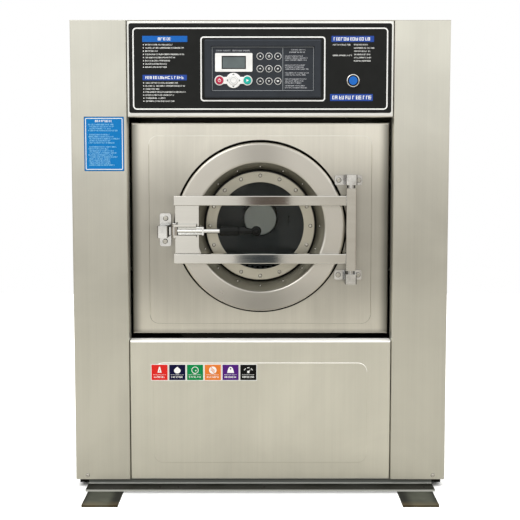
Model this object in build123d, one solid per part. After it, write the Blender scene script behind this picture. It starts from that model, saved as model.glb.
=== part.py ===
"""Front-loading commercial washer-extractor with a clamped porthole door.

Frame: +Z up, the front faces -Y, the origin is on the floor at the centre of the footprint.
Every size is in millimetres.  Depths into the machine are counted from the cabinet's front
face and turned into Y with deep().
"""

import os
from math import cos, radians, sin, sqrt

from build123d import *

# ---------------------------------------------------------------- driving dimensions
CABINET_WIDTH = 1050.0
CABINET_DEPTH = 950.0
CABINET_BOTTOM = 22.0
CABINET_TOP = 1313.0
COLUMN_WIDTH = 155.0  # front face of each side panel
SHEET = 2.0  # cabinet sheet thickness
SEAM = 2.0  # gap between a column and the panel beside it
BEND = 4.0  # outer bend radius of the sheet-metal panels

FOOT_LENGTH = 1250.0
FOOT_WIDTH = 98.0
FOOT_THICK = 6.0
FOOT_X = 433.0
FOOT_AHEAD = 192.0  # how far the feet reach in front of the cabinet

SILL_LENGTH = 978.0
SILL_REACH = 67.0  # horizontal leg of the sill angle in front of the cabinet
SILL_THICK = 5.0
SILL_HEIGHT = 21.0

FASCIA_BOTTOM = 1048.0  # lower edge of the control fascia
LEDGE_TOP = 421.0  # upper edge of the lower front panel
PANEL_RECESS = 45.0  # door surround panel behind the cabinet's front face
PANEL_RETURN = 48.0  # folded edge of the fascia and of the lower panel
PRESSED_CORNER = 26.0  # corner radius of the pressed fields
EMBOSS = 1.3  # height of the pressed field in the door surround panel
LOWER_EMBOSS = 0.8  # and in the lower front panel

DRUM_Z = 741.0
DOOR_RADIUS = 237.0
DOOR_FACE = 10.0  # depth of the door ring's front face
DISH_RADIUS = 182.0  # inner edge of the door ring's flat face
WINDOW_RADIUS = 124.5  # glass that shows inside the clamp ring
CLAMP_RADIUS = 155.5
BOLT_CIRCLE = 143.5
BOLT_COUNT = 16
PANEL_HOLE = 244.5

TUB_RADIUS = 390.0
TUB_FRONT = 80.0
TUB_BACK = 545.0
BASKET_RADIUS = 350.0
BASKET_FRONT = 116.0
BASKET_BACK = 510.0
BASKET_MOUTH = 192.0
SHAFT_RADIUS = 30.0

TRAVEL = 12.0  # suspension travel up and down
HINGE_X = 253.0
HINGE_DEPTH = -4.0
LATCH_X = -239.0
LATCH_DEPTH = -20.0
LATCH_Z = 733.0

MOTOR_X = 250.0
MOTOR_Z = 190.0
PULLEY_FRONT = 705.0
PULLEY_WIDTH = 60.0
DRUM_PULLEY_RADIUS = 200.0
MOTOR_PULLEY_RADIUS = 60.0
BELT_COUNT = 3

STRUT_X = FOOT_X
STRUT_DEPTHS = (150.0, 610.0)
RAIL_TOP = 66.0  # top of the base side members
BEAM_BOTTOM = 295.0  # underside of the suspension frame

HALF = CABINET_WIDTH / 2
INNER_HALF = HALF - COLUMN_WIDTH  # half the width between the columns
FRONT = -FOOT_LENGTH / 2 + FOOT_AHEAD  # Y of the cabinet's front face
REAR = FRONT + CABINET_DEPTH
TOP_UNDER = CABINET_TOP - SHEET


# ---------------------------------------------------------------- helpers
def deep(depth):
    """Y of a point this far behind the cabinet's front face."""
    return FRONT + depth


def box(x0, x1, y0, y1, z0, z1):
    """Box between two corners."""
    centre = Pos((x0 + x1) / 2, (y0 + y1) / 2, (z0 + z1) / 2)
    return centre * Box(abs(x1 - x0), abs(y1 - y0), abs(z1 - z0))


def rod_x(radius, x0, x1, y, z):
    return Pos((x0 + x1) / 2, y, z) * Rot(0, 90, 0) * Cylinder(radius, abs(x1 - x0))


def rod_y(radius, y0, y1, x, z):
    return Pos(x, (y0 + y1) / 2, z) * Rot(90, 0, 0) * Cylinder(radius, abs(y1 - y0))


def rod_z(radius, z0, z1, x, y):
    return Pos(x, y, (z0 + z1) / 2) * Cylinder(radius, abs(z1 - z0))


def turned(*points):
    """Solid of revolution round the drum axis from (radius, depth) points."""
    outline = make_face(Polyline(*[(r, deep(d)) for r, d in points], close=True))
    return Pos(0, 0, DRUM_Z) * revolve(outline, Axis.Y)


def turned_sheet(points, thickness, radius):
    """Sheet of one thickness turned round the drum axis along (radius, depth) points."""
    path = FilletPolyline(*[(r, deep(d)) for r, d in points], radius=radius)
    return Pos(0, 0, DRUM_Z) * revolve(trace(path, thickness), Axis.Y)


def facing(sketch, depth, thickness):
    """Extrudes a front-view (X, Z) sketch backwards from this depth."""
    plane = Plane.XZ.offset(-deep(depth + thickness))
    return extrude(plane * sketch, amount=thickness)


def rounded_tray(x0, x1, z0, z1, depth, reach):
    """Sheet panel with its four edges folded back."""
    outer = box(x0, x1, deep(depth), deep(depth + reach), z0, z1)
    outer = fillet(outer.faces().sort_by(Axis.Y)[0].edges(), BEND)
    inner = box(
        x0 + SHEET, x1 - SHEET, deep(depth + SHEET), deep(depth + reach + 1), z0 + SHEET, z1 - SHEET
    )
    inner = fillet(inner.faces().sort_by(Axis.Y)[0].edges(), BEND - SHEET)
    return outer - inner


def pressed(panel, x0, x1, z0, z1, depth, height):
    """Presses a rounded rectangle outwards in a sheet panel."""
    outline = Pos((x0 + x1) / 2, (z0 + z1) / 2) * RectangleRounded(x1 - x0, z1 - z0, PRESSED_CORNER)
    bump = extrude(Plane.XZ.offset(-deep(depth)) * outline, amount=height, taper=50)
    return (panel + bump) - Pos(0, SHEET, 0) * bump


def on_circle(count, radius, start=90.0):
    """Points (x, z) spaced evenly round the drum axis."""
    for i in range(count):
        angle = radians(start + 360.0 * i / count)
        yield radius * cos(angle), DRUM_Z + radius * sin(angle)


def group(*shapes):
    """Several separate solids kept together as one sub-part."""
    return Compound(children=[solid for shape in shapes for solid in shape.solids()])


PARTS = {}


def part(name, shape):
    PARTS[name] = shape


# ---------------------------------------------------------------- base and cabinet
def foot_rails():
    feet = []
    for side in (-1, 1):
        x = side * FOOT_X
        foot = box(
            x - FOOT_WIDTH / 2, x + FOOT_WIDTH / 2, -FOOT_LENGTH / 2, FOOT_LENGTH / 2, 0, FOOT_THICK
        )
        feet.append(fillet(foot.edges().filter_by(Axis.Z), 3))
    return group(*feet)


def sill(front):
    """Angle with its long leg flat, outside the cabinet."""
    sign = 1 if front else -1
    face = FRONT if front else REAR
    z0 = FOOT_THICK
    half = SILL_LENGTH / 2
    out, inside = face - sign * SILL_REACH, face + sign * 8
    leg = box(-half, half, out, inside, z0, z0 + SILL_THICK)
    wall = box(-half, half, face + sign * 4, inside, z0, SILL_HEIGHT)
    angle = leg + wall
    for x in (-283, -231, 11, 461):
        angle -= rod_z(3.5, z0 - 1, z0 + SILL_THICK + 1, x, face - sign * 40)
    return angle


def main_frame():
    """Welded base, corner posts and top rails, as bars that meet face to face."""
    rail_half = 30.0
    z0, z1 = FOOT_THICK, RAIL_TOP
    pieces = [sill(True), sill(False)]
    for side in (-1, 1):
        x = side * FOOT_X
        pieces.append(box(x - rail_half, x + rail_half, FRONT + 8, REAR - 8, z0, z1))
    inner = FOOT_X - rail_half
    for depth in (230, 700):
        pieces.append(box(-inner, inner, deep(depth), deep(depth + 60), z0, z1))
    post, post_flange, wall, gap = 62.0, 28.0, 4.0, SHEET + 1.5
    x_out, top = HALF - gap, TOP_UNDER - 1
    rail_low = top - 30
    for side in (-1, 1):
        outer, inner = side * x_out, side * (x_out - wall)
        for face, inward in ((FRONT, 1), (REAR, -1)):
            y_out = face + inward * gap
            y_wall, y_in = y_out + inward * wall, y_out + inward * post
            front_leg = box(outer, side * (x_out - post_flange), y_out, y_wall, SILL_HEIGHT, top)
            side_leg = box(outer, inner, y_out, y_in, SILL_HEIGHT, top)
            pieces.append(front_leg + side_leg)
            pieces.append(box(inner, side * (FOOT_X + rail_half), y_in - inward * 40, y_in, z0, z1))
        y0, y1 = FRONT + gap + post, REAR - gap - post
        pieces.append(box(outer, inner, y0, y1, rail_low, top))
    for face, inward in ((FRONT, 1), (REAR, -1)):
        y = face + inward * (gap + post - wall)
        pieces.append(box(wall - x_out, x_out - wall, y, y + inward * wall, rail_low, top))
    return group(*pieces)


def side_panel(side):
    """Side sheet with the front column and its return, folded from one sheet."""
    half_sheet = SHEET / 2
    x_out, x_in = HALF - half_sheet, INNER_HALF + half_sheet
    y0, y1 = FRONT + half_sheet, REAR - half_sheet
    path = FilletPolyline(
        (side * x_in, FRONT + 60),
        (side * x_in, y0),
        (side * x_out, y0),
        (side * x_out, y1),
        (side * (x_out - 30), y1),
        radius=BEND - half_sheet,
    )
    sheet = extrude(Pos(0, 0, CABINET_BOTTOM) * trace(path, SHEET), amount=TOP_UNDER - CABINET_BOTTOM)
    return sheet - rod_y(3.2, FRONT - 1, FRONT + SHEET + 1, side * SCREW_X, SCREW_Z)


def top_panel():
    lid = box(-HALF, HALF, FRONT, REAR, TOP_UNDER, CABINET_TOP)
    return fillet(lid.edges().filter_by(Axis.Z) + lid.faces().sort_by(Axis.Z)[-1].edges(), 1.2)


SCREW_X, SCREW_Z = 492.0, CABINET_BOTTOM + 11.5  # one screw low on each column
DRAIN_Z = 235.0
DRAIN_RADIUS = 38.0
VALVE_XS = (-170.0, -90.0)
VALVE_Z = 1220.0
VALVE_THREAD = 13.2
GLAND_X, GLAND_Z, GLAND_RADIUS = 350.0, 1180.0, 14.0


def rear_panel():
    half = HALF - 32
    sheet = box(-half, half, REAR - SHEET, REAR, CABINET_BOTTOM, TOP_UNDER)
    through = (REAR - SHEET - 1, REAR + 1)
    sheet -= rod_y(DRAIN_RADIUS + TRAVEL + 8, *through, 0, DRAIN_Z)
    for x in VALVE_XS:
        sheet -= rod_y(VALVE_THREAD + 0.6, *through, x, VALVE_Z)
    sheet -= rod_y(GLAND_RADIUS - 3, *through, GLAND_X, GLAND_Z)
    for column in (-1, 1):
        for row in range(9):
            z = 470 + row * 22
            slot = Pos(column * 290, z) * SlotOverall(170, 8)
            sheet -= extrude(Plane.XZ.offset(-(REAR + 1)) * slot, amount=SHEET + 2)
    return sheet


CONTROL_X, CONTROL_Z = 7.0, 1179.5  # middle of the controller
BUTTON_X, BUTTON_Z = 256.0, 1147.5
CUTOUT_WIDTH, CUTOUT_HEIGHT = 292.0, 132.0  # opening for the controller's body
BUTTON_HOLE = 11.5


def control_fascia():
    x = INNER_HALF - SEAM
    tray = rounded_tray(-x, x, FASCIA_BOTTOM, TOP_UNDER, 0, PANEL_RETURN)
    cutout = Pos(CONTROL_X, CONTROL_Z) * Rectangle(CUTOUT_WIDTH, CUTOUT_HEIGHT)
    hole = Pos(BUTTON_X, BUTTON_Z) * Circle(BUTTON_HOLE)
    return tray - facing(cutout, -1, 11) - facing(hole, -1, 11)


OVERLAY_THICK = 1.0


def control_overlay():
    """Black printed sheet stuck to the fascia."""
    half, z0, z1 = 362.5, 1059.0, 1304.0
    face = Pos(0, (z0 + z1) / 2) * RectangleRounded(2 * half, z1 - z0, 6)
    face -= Pos(CONTROL_X, CONTROL_Z) * Rectangle(CUTOUT_WIDTH, CUTOUT_HEIGHT)
    face -= Pos(BUTTON_X, BUTTON_Z) * Circle(BUTTON_HOLE)
    return facing(face, -OVERLAY_THICK, OVERLAY_THICK)


def lower_front_panel():
    x = INNER_HALF - SEAM
    tray = rounded_tray(-x, x, CABINET_BOTTOM, LEDGE_TOP, 0, PANEL_RETURN)
    return pressed(tray, -302, 302, 70, 358.5, 0, LOWER_EMBOSS)


# ---------------------------------------------------------------- controls
BEZEL_PROUD = 8.0
FLOOR_PROUD = 3.5  # recessed face of the controller
KEY_COLUMNS = (-0.5, 24.0, 48.5)
KEY_ROWS = (1214.0, 1180.0, 1146.0)
KEY_RADIUS = 7.6
KEY_TRAVEL = 1.0
STOP_X, RUN_X, PAD_X = -112.5, -35.5, -74.0
PAD_Z = 1148.0
ROUND_KEY_RADIUS = 10.6
PAD_RADIUS = 12.0
LCD_X, LCD_Z = -73.0, 1197.0
LCD_WIDTH, LCD_HEIGHT = 67.0, 36.0
POCKET_GAP = 0.5


def controller_bezel():
    """Moulded controller front: a bevelled frame round a recessed key field."""
    centre = Pos(CONTROL_X, CONTROL_Z)
    frame = facing(centre * RectangleRounded(322, 160, 5), -BEZEL_PROUD, BEZEL_PROUD - OVERLAY_THICK)
    frame = chamfer(frame.faces().sort_by(Axis.Y)[0].edges(), 3.5)
    body = facing(centre * Rectangle(288, 128), -OVERLAY_THICK, 32)
    field = facing(centre * RectangleRounded(284, 124, 2), -BEZEL_PROUD - 1, BEZEL_PROUD + 1 - FLOOR_PROUD)
    case = frame + body - field
    floor = deep(-FLOOR_PROUD)
    for x in KEY_COLUMNS:
        for z in KEY_ROWS:
            case -= rod_y(KEY_RADIUS + POCKET_GAP, floor - 1, floor + 8, x, z)
    for x in (STOP_X, RUN_X):
        case -= rod_y(ROUND_KEY_RADIUS + POCKET_GAP, floor - 1, floor + 9, x, PAD_Z)
    case -= rod_y(PAD_RADIUS + POCKET_GAP, floor - 1, floor + 9, PAD_X, PAD_Z)
    recess = (LCD_X - 36, LCD_X + 36, floor - 1, floor + 2.5, LCD_Z - 20, LCD_Z + 20)
    return case - box(*recess)


def display_surround():
    """White frame of the display and white surround of the round keys."""
    proud = 2.5
    frame = Pos(LCD_X, LCD_Z) * RectangleRounded(103, 51, 3)
    frame -= Pos(LCD_X, LCD_Z) * Rectangle(LCD_WIDTH, LCD_HEIGHT)
    arms = Rectangle(RUN_X - STOP_X, 19)
    point = Pos(0, -2) * Rot(0, 0, 45) * RectangleRounded(31, 31, 7)
    pad = Pos(PAD_X, PAD_Z) * (arms + Circle(20.8) + point)
    for x in (STOP_X, RUN_X):
        pad += Pos(x, PAD_Z) * Circle(13.8)
    for x in (STOP_X, RUN_X):
        pad -= Pos(x, PAD_Z) * Circle(ROUND_KEY_RADIUS + POCKET_GAP)
    pad -= Pos(PAD_X, PAD_Z) * Circle(PAD_RADIUS + POCKET_GAP)
    parts = [facing(s, -FLOOR_PROUD - proud, proud) for s in (frame, pad)]
    soft = [chamfer(p.faces().sort_by(Axis.Y)[0].outer_wire().edges(), 0.6) for p in parts]
    return group(*soft)


def lcd_screen():
    glass = Pos(LCD_X, LCD_Z) * Rectangle(71, 39.5)
    return facing(glass, -FLOOR_PROUD, 2.2)


def key_cap(x, z, radius, proud, length):
    """Round key standing proud of the controller's face."""
    front = deep(-FLOOR_PROUD - proud)
    cap = rod_y(radius, front, front + length, x, z)
    return fillet(cap.faces().sort_by(Axis.Y)[0].edges(), 0.7)


def nav_pad():
    pad = key_cap(PAD_X, PAD_Z, PAD_RADIUS, 4.2, 8)
    dimple = Pos(PAD_X, deep(-FLOOR_PROUD - 4.2) - 14.4, PAD_Z) * Sphere(15)
    return pad - dimple


def start_button_bezel():
    front, face = deep(-7), deep(-OVERLAY_THICK)
    ring = rod_y(18, front, face, BUTTON_X, BUTTON_Z)
    ring = fillet(ring.faces().sort_by(Axis.Y)[0].edges(), 2.5)
    barrel = rod_y(11.2, face, deep(40), BUTTON_X, BUTTON_Z)
    shell = ring + barrel - rod_y(13.6, front - 1, deep(-2), BUTTON_X, BUTTON_Z)
    return shell - rod_y(8.5, front - 1, deep(38), BUTTON_X, BUTTON_Z)


def start_button():
    cap = rod_y(13.1, deep(-8), deep(-6.2), BUTTON_X, BUTTON_Z)
    cap = fillet(cap.faces().sort_by(Axis.Y)[0].edges(), 1.2)
    return cap + rod_y(8, deep(-6.2), deep(25), BUTTON_X, BUTTON_Z)


# ---------------------------------------------------------------- services at the back
SPOUT_X, SPOUT_DEPTH = -130.0, 480.0
SPOUT_END = 1168.0


def inlet_valves():
    """Two solenoid valves, their manifold and the spout over the tub's funnel."""
    manifold_y, spout_y = REAR - 92, deep(SPOUT_DEPTH)
    length = VALVE_XS[1] - VALVE_XS[0] + 36
    shape = Pos(sum(VALVE_XS) / 2, manifold_y, VALVE_Z) * Box(length, 32, 32)
    for x in VALVE_XS:
        shape += box(x - 15, x + 15, manifold_y + 10, REAR - 30, VALVE_Z - 15, VALVE_Z + 15)
        shape += rod_y(18, REAR - 34, REAR - SHEET, x, VALVE_Z)
        shape += rod_y(VALVE_THREAD, REAR - 5, REAR + 34, x, VALVE_Z)
        shape += rod_y(18, REAR, REAR + 6, x, VALVE_Z)
        shape += rod_z(13, VALVE_Z, VALVE_Z + 52, x, REAR - 58)
        shape -= rod_y(8, REAR - 20, REAR + 35, x, VALVE_Z)
    shape += rod_y(12, spout_y - 4, manifold_y, SPOUT_X, VALVE_Z)
    return shape + rod_z(11, SPOUT_END, VALVE_Z, SPOUT_X, spout_y + 8)


def cable_gland():
    hexagon = Pos(GLAND_X, GLAND_Z) * RegularPolygon(16, 6)
    hexagon = extrude(Plane.XZ.offset(-(REAR + 10)) * hexagon, amount=10)
    body = hexagon + rod_y(12, REAR + 10, REAR + 26, GLAND_X, GLAND_Z)
    thread = rod_y(GLAND_RADIUS - 3, REAR - 12, REAR, GLAND_X, GLAND_Z)
    return body + thread - rod_y(6, REAR - 13, REAR + 27, GLAND_X, GLAND_Z)


def motor_drive():
    """Inverter box on the inside of the left side panel."""
    x0 = -HALF + SHEET
    case = box(x0, x0 + 118, deep(520), deep(700), 960, 1240)
    case = fillet(case.edges().filter_by(Axis.X), 6)
    for i in range(8):
        z = 990 + i * 30
        case -= box(x0 + 110, x0 + 119, deep(540), deep(680), z, z + 8)
    return case


def cabinet_screws():
    """Pan-head screws: one low on each column and six round the back panel."""
    screws = []
    spots = [(side * SCREW_X, SCREW_Z, FRONT, -1) for side in (-1, 1)]
    for side in (-1, 1):
        spots += [(side * 480, z, REAR, 1) for z in (60, 660, 1290)]
    for x, z, face, out in spots:
        head = rod_y(5.5, face, face + out * 2.6, x, z)
        head = fillet(head.faces().sort_by(Axis.Y)[0 if out < 0 else -1].edges(), 1.6)
        if out < 0:
            head += rod_y(3, face, face + 3, x, z)
            head -= box(x - 0.6, x + 0.6, face - 3, face - 1.4, z - 4, z + 4)
            head -= box(x - 4, x + 4, face - 3, face - 1.4, z - 0.6, z + 0.6)
        screws.append(head)
    return group(*screws)


# ---------------------------------------------------------------- suspension
SPRING_RADIUS = 33.0
SPRING_WIRE = 4.0
SPRING_TURNS = 6
SEAT = 6.0
CYLINDER_TOP = 190.0
MOTOR_PLATE = 12.0


def strut_spots():
    for x in (-STRUT_X, STRUT_X):
        for depth in STRUT_DEPTHS:
            yield x, deep(depth)


def strut_cylinders():
    struts = []
    for x, y in strut_spots():
        tube = rod_z(45, RAIL_TOP, RAIL_TOP + SEAT, x, y) + rod_z(20, RAIL_TOP, CYLINDER_TOP, x, y)
        struts.append(tube - rod_z(9, RAIL_TOP + 12, CYLINDER_TOP + 1, x, y))
    return group(*struts)


def strut_rods():
    rods = []
    for x, y in strut_spots():
        plate = rod_z(45, BEAM_BOTTOM - SEAT, BEAM_BOTTOM, x, y)
        rods.append(plate + rod_z(8, RAIL_TOP + 36, BEAM_BOTTOM, x, y))
    return group(*rods)


def strut_springs():
    low = RAIL_TOP + SEAT + SPRING_WIRE + 0.3
    high = BEAM_BOTTOM - SEAT - SPRING_WIRE - 0.3
    height = high - low
    path = Helix(height / SPRING_TURNS, height, SPRING_RADIUS)
    profile = Plane(path @ 0, z_dir=path % 0) * Circle(SPRING_WIRE)
    coil = sweep(profile, path, is_frenet=True)
    return group(*[Pos(x, y, low) * coil for x, y in strut_spots()])


def suspension_frame():
    """Welded cradle that carries the tub and the motor, as bars that meet face to face."""
    y0, y1 = deep(110), deep(660)
    beam, saddle_top = 50.0, 600.0
    top = BEAM_BOTTOM + beam
    inner = STRUT_X - beam / 2
    pieces = []
    for side in (-1, 1):
        pieces.append(box(side * inner, side * (inner + beam), y0, y1, BEAM_BOTTOM, top))
    for depth in (170, 470):
        y = deep(depth)
        pieces.append(box(-inner, inner, y, y + beam, BEAM_BOTTOM, top))
        saddle = box(-inner, inner, y + 20, y + 30, top, saddle_top)
        pieces.append(saddle - rod_y(TUB_RADIUS, y, y + beam, 0, DRUM_Z))
    low = BEAM_BOTTOM - MOTOR_PLATE
    plate = box(MOTOR_X - 110, inner + beam, deep(420), deep(STRUT_DEPTHS[1] - 55), low, BEAM_BOTTOM)
    plate += box(MOTOR_X - 110, MOTOR_X + 110, deep(420), deep(640), low, BEAM_BOTTOM)
    return group(*pieces, plate)


# ---------------------------------------------------------------- tub
FUNNEL_Z = 1160.0


def tub_shell():
    wall = 3.0
    shell = turned(
        (TUB_RADIUS, TUB_FRONT + 4),
        (TUB_RADIUS, TUB_BACK),
        (62, TUB_BACK),
        (62, TUB_BACK - 4),
        (TUB_RADIUS - wall, TUB_BACK - 4),
        (TUB_RADIUS - wall, TUB_FRONT + 4),
    )
    drain_y, fill_y = deep(330), deep(SPOUT_DEPTH)
    neck = rod_z(40, BEAM_BOTTOM + 5, DRUM_Z - TUB_RADIUS + 12, 0, drain_y)
    chimney = rod_z(24, 1060, FUNNEL_Z, SPOUT_X, fill_y)
    cup = rod_z(52, FUNNEL_Z - 20, FUNNEL_Z + 24, SPOUT_X, fill_y)
    cup -= rod_z(49, FUNNEL_Z - 17, FUNNEL_Z + 25, SPOUT_X, fill_y)
    inside = rod_y(TUB_RADIUS - wall, deep(TUB_FRONT), deep(TUB_BACK - 4), 0, DRUM_Z)
    shell += (neck + chimney + cup) - inside
    shell -= rod_z(36, BEAM_BOTTOM, DRUM_Z - 300, 0, drain_y)
    return shell - rod_z(21, 1000, FUNNEL_Z + 1, SPOUT_X, fill_y)


HINGE_BOLT_XS = (221.0, 277.0)
HINGE_PLATE_ZS = (872.5, 604.5)
LATCH_BOLTS = ((-267.0, 765.0), (-269.0, 700.0))
BRACKET_THICK = 7.0
BRACKET_BOLT_RADIUS = 4.0
BRACKET_HOLE = 4.4
PANEL_FACE = PANEL_RECESS - EMBOSS  # depth of the pressed field's front


def bracket_bolt_spots():
    for z in HINGE_PLATE_ZS:
        for x in HINGE_BOLT_XS:
            yield x, z
    yield from LATCH_BOLTS


def tub_front_plate():
    """Front plate of the tub, its mouth collar and the blocks behind the brackets."""
    back, face = TUB_FRONT + 4, PANEL_FACE + SHEET
    plate = turned(
        (205, 32), (209, 32), (209, TUB_FRONT), (TUB_RADIUS, TUB_FRONT), (TUB_RADIUS, back), (205, back)
    )
    for z in HINGE_PLATE_ZS:
        plate += box(245, 292, deep(face), deep(TUB_FRONT), z - 16, z + 16)
    plate += box(-292, -250, deep(face), deep(TUB_FRONT), 684, 781)
    for x, z in bracket_bolt_spots():
        if x > 240 or x < 0:
            plate -= rod_y(BRACKET_BOLT_RADIUS + 0.1, deep(face - 1), deep(face + 22), x, z)
    return plate


def door_surround_panel():
    """Recessed front sheet that moves with the tub."""
    depth = PANEL_RECESS
    x, z0, z1 = 363.0, LEDGE_TOP + 15, FASCIA_BOTTOM - 15.5
    tray = rounded_tray(-x, x, z0, z1, depth, 27)
    tray = pressed(tray, -315, 315, 463.5, 997.5, depth, EMBOSS)
    tray -= rod_y(PANEL_HOLE, deep(depth - 3), deep(depth + 5), 0, DRUM_Z)
    for bx, bz in bracket_bolt_spots():
        tray -= rod_y(BRACKET_HOLE, deep(depth - 3), deep(depth + 5), bx, bz)
    return tray


def mouth_gasket():
    """Soft bulb on the front edge of the tub's collar."""
    bulb = turned((200, 32), (213, 32), (213, 20), (210.5, 13.3), (203, 13.3), (200, 20))
    return fillet(bulb.edges().group_by(Axis.Y)[0], 2)


BEARING_WIDTH = 30.0
BEARING_RADIUS = 55.0
BEARING_DEPTHS = (562.0, 652.0)


def bearing_housing():
    end = BEARING_DEPTHS[1] + BEARING_WIDTH
    body = turned(
        (BEARING_RADIUS, TUB_BACK),
        (160, TUB_BACK),
        (160, TUB_BACK + 14),
        (74, TUB_BACK + 16),
        (74, end),
        (BEARING_RADIUS, end),
    )
    lip = turned(
        (BEARING_RADIUS, BEARING_DEPTHS[0] + BEARING_WIDTH),
        (BEARING_RADIUS, BEARING_DEPTHS[1]),
        (48, BEARING_DEPTHS[1]),
        (48, BEARING_DEPTHS[0] + BEARING_WIDTH),
    )
    body += lip
    root, tip = deep(TUB_BACK + 14), deep(end - 12)
    rib = Plane.YZ * make_face(Polyline((root, 70), (root, 150), (tip, 78), (tip, 70), close=True))
    web = extrude(rib, amount=5, both=True)
    for i in range(8):
        body += Pos(0, 0, DRUM_Z) * Rot(0, 45 * i, 0) * web
    return body


def shaft_bearings():
    rings = []
    for depth in BEARING_DEPTHS:
        bore, back = SHAFT_RADIUS + 0.05, depth + BEARING_WIDTH
        ring = turned((bore, depth), (BEARING_RADIUS, depth), (BEARING_RADIUS, back), (bore, back))
        groove = turned((38, depth - 1), (48, depth - 1), (48, depth + 3), (38, depth + 3))
        rings.append(ring - groove)
    return group(*rings)


def motor_housing():
    """Foot-mounted motor, hung by its feet from the cradle's plate."""
    y0, y1 = deep(425), deep(640)
    body = rod_y(78, y0, y1, MOTOR_X, MOTOR_Z)
    for i in range(30):
        fin = box(-1.5, 1.5, y0 + 30, y1 - 30, 76, 88)
        body += Pos(MOTOR_X, 0, MOTOR_Z) * Rot(0, 12 * i, 0) * fin
    for y in (y0, y1 - 26):
        body += rod_y(88, y, y + 26, MOTOR_X, MOTOR_Z)
    foot_top = BEAM_BOTTOM - MOTOR_PLATE
    for y in (y0 + 32, y1 - 62):
        body += box(MOTOR_X - 90, MOTOR_X + 90, y, y + 30, MOTOR_Z + 70, foot_top)
    body += box(MOTOR_X - 150, MOTOR_X - 70, y0 + 60, y0 + 140, MOTOR_Z - 35, MOTOR_Z + 35)
    return body - rod_y(14.6, y0 + 20, y1 + 1, MOTOR_X, MOTOR_Z)


def belt_loop(inner_gap, thickness):
    """Front-view outline of an open belt round both pulleys."""

    def hull(extra):
        drum = Pos(0, DRUM_Z) * Circle(DRUM_PULLEY_RADIUS - 8 + extra)
        motor = Pos(MOTOR_X, MOTOR_Z) * Circle(MOTOR_PULLEY_RADIUS - 8 + extra)
        return make_hull(drum.edges() + motor.edges())

    return hull(inner_gap + thickness) - hull(inner_gap)


GROOVE_PITCH = 18.0
GROOVE_WIDTH = 12.0


def groove_depths():
    middle = PULLEY_FRONT + PULLEY_WIDTH / 2
    for i in range(BELT_COUNT):
        yield middle + (i - (BELT_COUNT - 1) / 2) * GROOVE_PITCH


def drive_belts():
    belts = []
    for depth in groove_depths():
        belts.append(facing(belt_loop(0.4, 8.5), depth - GROOVE_WIDTH / 2 + 0.5, GROOVE_WIDTH - 1))
    return group(*belts)


def drain_valve():
    """Motorised drain valve under the tub and its outlet pipe."""
    y = deep(330)
    shape = rod_z(46, 205, BEAM_BOTTOM + 5, 0, y) + rod_y(DRAIN_RADIUS, y, REAR + 60, 0, DRAIN_Z)
    shape += box(-120, -40, y - 35, y + 35, 210, 280)
    shape += rod_y(DRAIN_RADIUS + 3, REAR + 4, REAR + 9, 0, DRAIN_Z)
    shape -= rod_y(DRAIN_RADIUS - 3, y + 20, REAR + 61, 0, DRAIN_Z)
    return shape - rod_z(36, 230, BEAM_BOTTOM + 6, 0, y)


# ---------------------------------------------------------------- basket and drive
def basket_shell():
    wall, lip = 2.5, 14.0
    return turned(
        (BASKET_MOUTH, BASKET_FRONT),
        (BASKET_RADIUS, BASKET_FRONT),
        (BASKET_RADIUS, BASKET_BACK),
        (SHAFT_RADIUS, BASKET_BACK),
        (SHAFT_RADIUS, BASKET_BACK - 4),
        (BASKET_RADIUS - wall, BASKET_BACK - 4),
        (BASKET_RADIUS - wall, BASKET_FRONT + wall),
        (BASKET_MOUTH + wall, BASKET_FRONT + wall),
        (BASKET_MOUTH + wall, BASKET_FRONT + lip),
        (BASKET_MOUTH, BASKET_FRONT + lip),
    )


def basket_lifters():
    """Three ribs that lift the load."""
    reach, half = 58.0, 34.0
    foot = BASKET_RADIUS - 2.5
    y0, y1 = deep(BASKET_FRONT + 6), deep(BASKET_BACK - 8)
    edge = sqrt(foot**2 - half**2)
    tip, crest = foot - reach, 11.0
    path = Polyline((-half, edge), (-crest, tip), (crest, tip), (half, edge), (0, edge - 0.5), close=True)
    outline = make_face(path)
    rib = extrude(Plane.XZ.offset(-y1) * outline, amount=y1 - y0)
    rib = fillet(rib.edges().filter_by(Axis.Y).sort_by(Axis.Z)[:2], 8)
    return group(*[Pos(0, 0, DRUM_Z) * Rot(0, 60 + 120 * i, 0) * rib for i in range(3)])


def hub_cap():
    """Smooth cover over the shaft nut in the middle of the basket's back."""
    front, back = 428.0, BASKET_BACK - 4
    cap = turned((0, front), (52.5, front), (56, back), (52, back), (49, front + 4), (0, front + 4))
    return fillet(cap.faces().sort_by(Axis.Y)[0].edges(), 3)


def drum_shaft():
    end = PULLEY_FRONT + PULLEY_WIDTH + 12
    return turned(
        (0, BASKET_BACK - 30),
        (SHAFT_RADIUS, BASKET_BACK - 30),
        (SHAFT_RADIUS, BASKET_BACK),
        (150, BASKET_BACK),
        (150, BASKET_BACK + 10),
        (SHAFT_RADIUS + 12, BASKET_BACK + 26),
        (SHAFT_RADIUS + 12, BEARING_DEPTHS[0] - 3),
        (SHAFT_RADIUS, BEARING_DEPTHS[0] - 3),
        (SHAFT_RADIUS, end),
        (0, end),
    )


def grooved(blank, radius, x, z):
    """Cuts one groove for each belt into a pulley rim."""
    for depth in groove_depths():
        cutter = rod_y(radius + 5, deep(depth - GROOVE_WIDTH / 2), deep(depth + GROOVE_WIDTH / 2), x, z)
        blank -= cutter - rod_y(radius - 8, deep(depth - 20), deep(depth + 20), x, z)
    return blank


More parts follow.
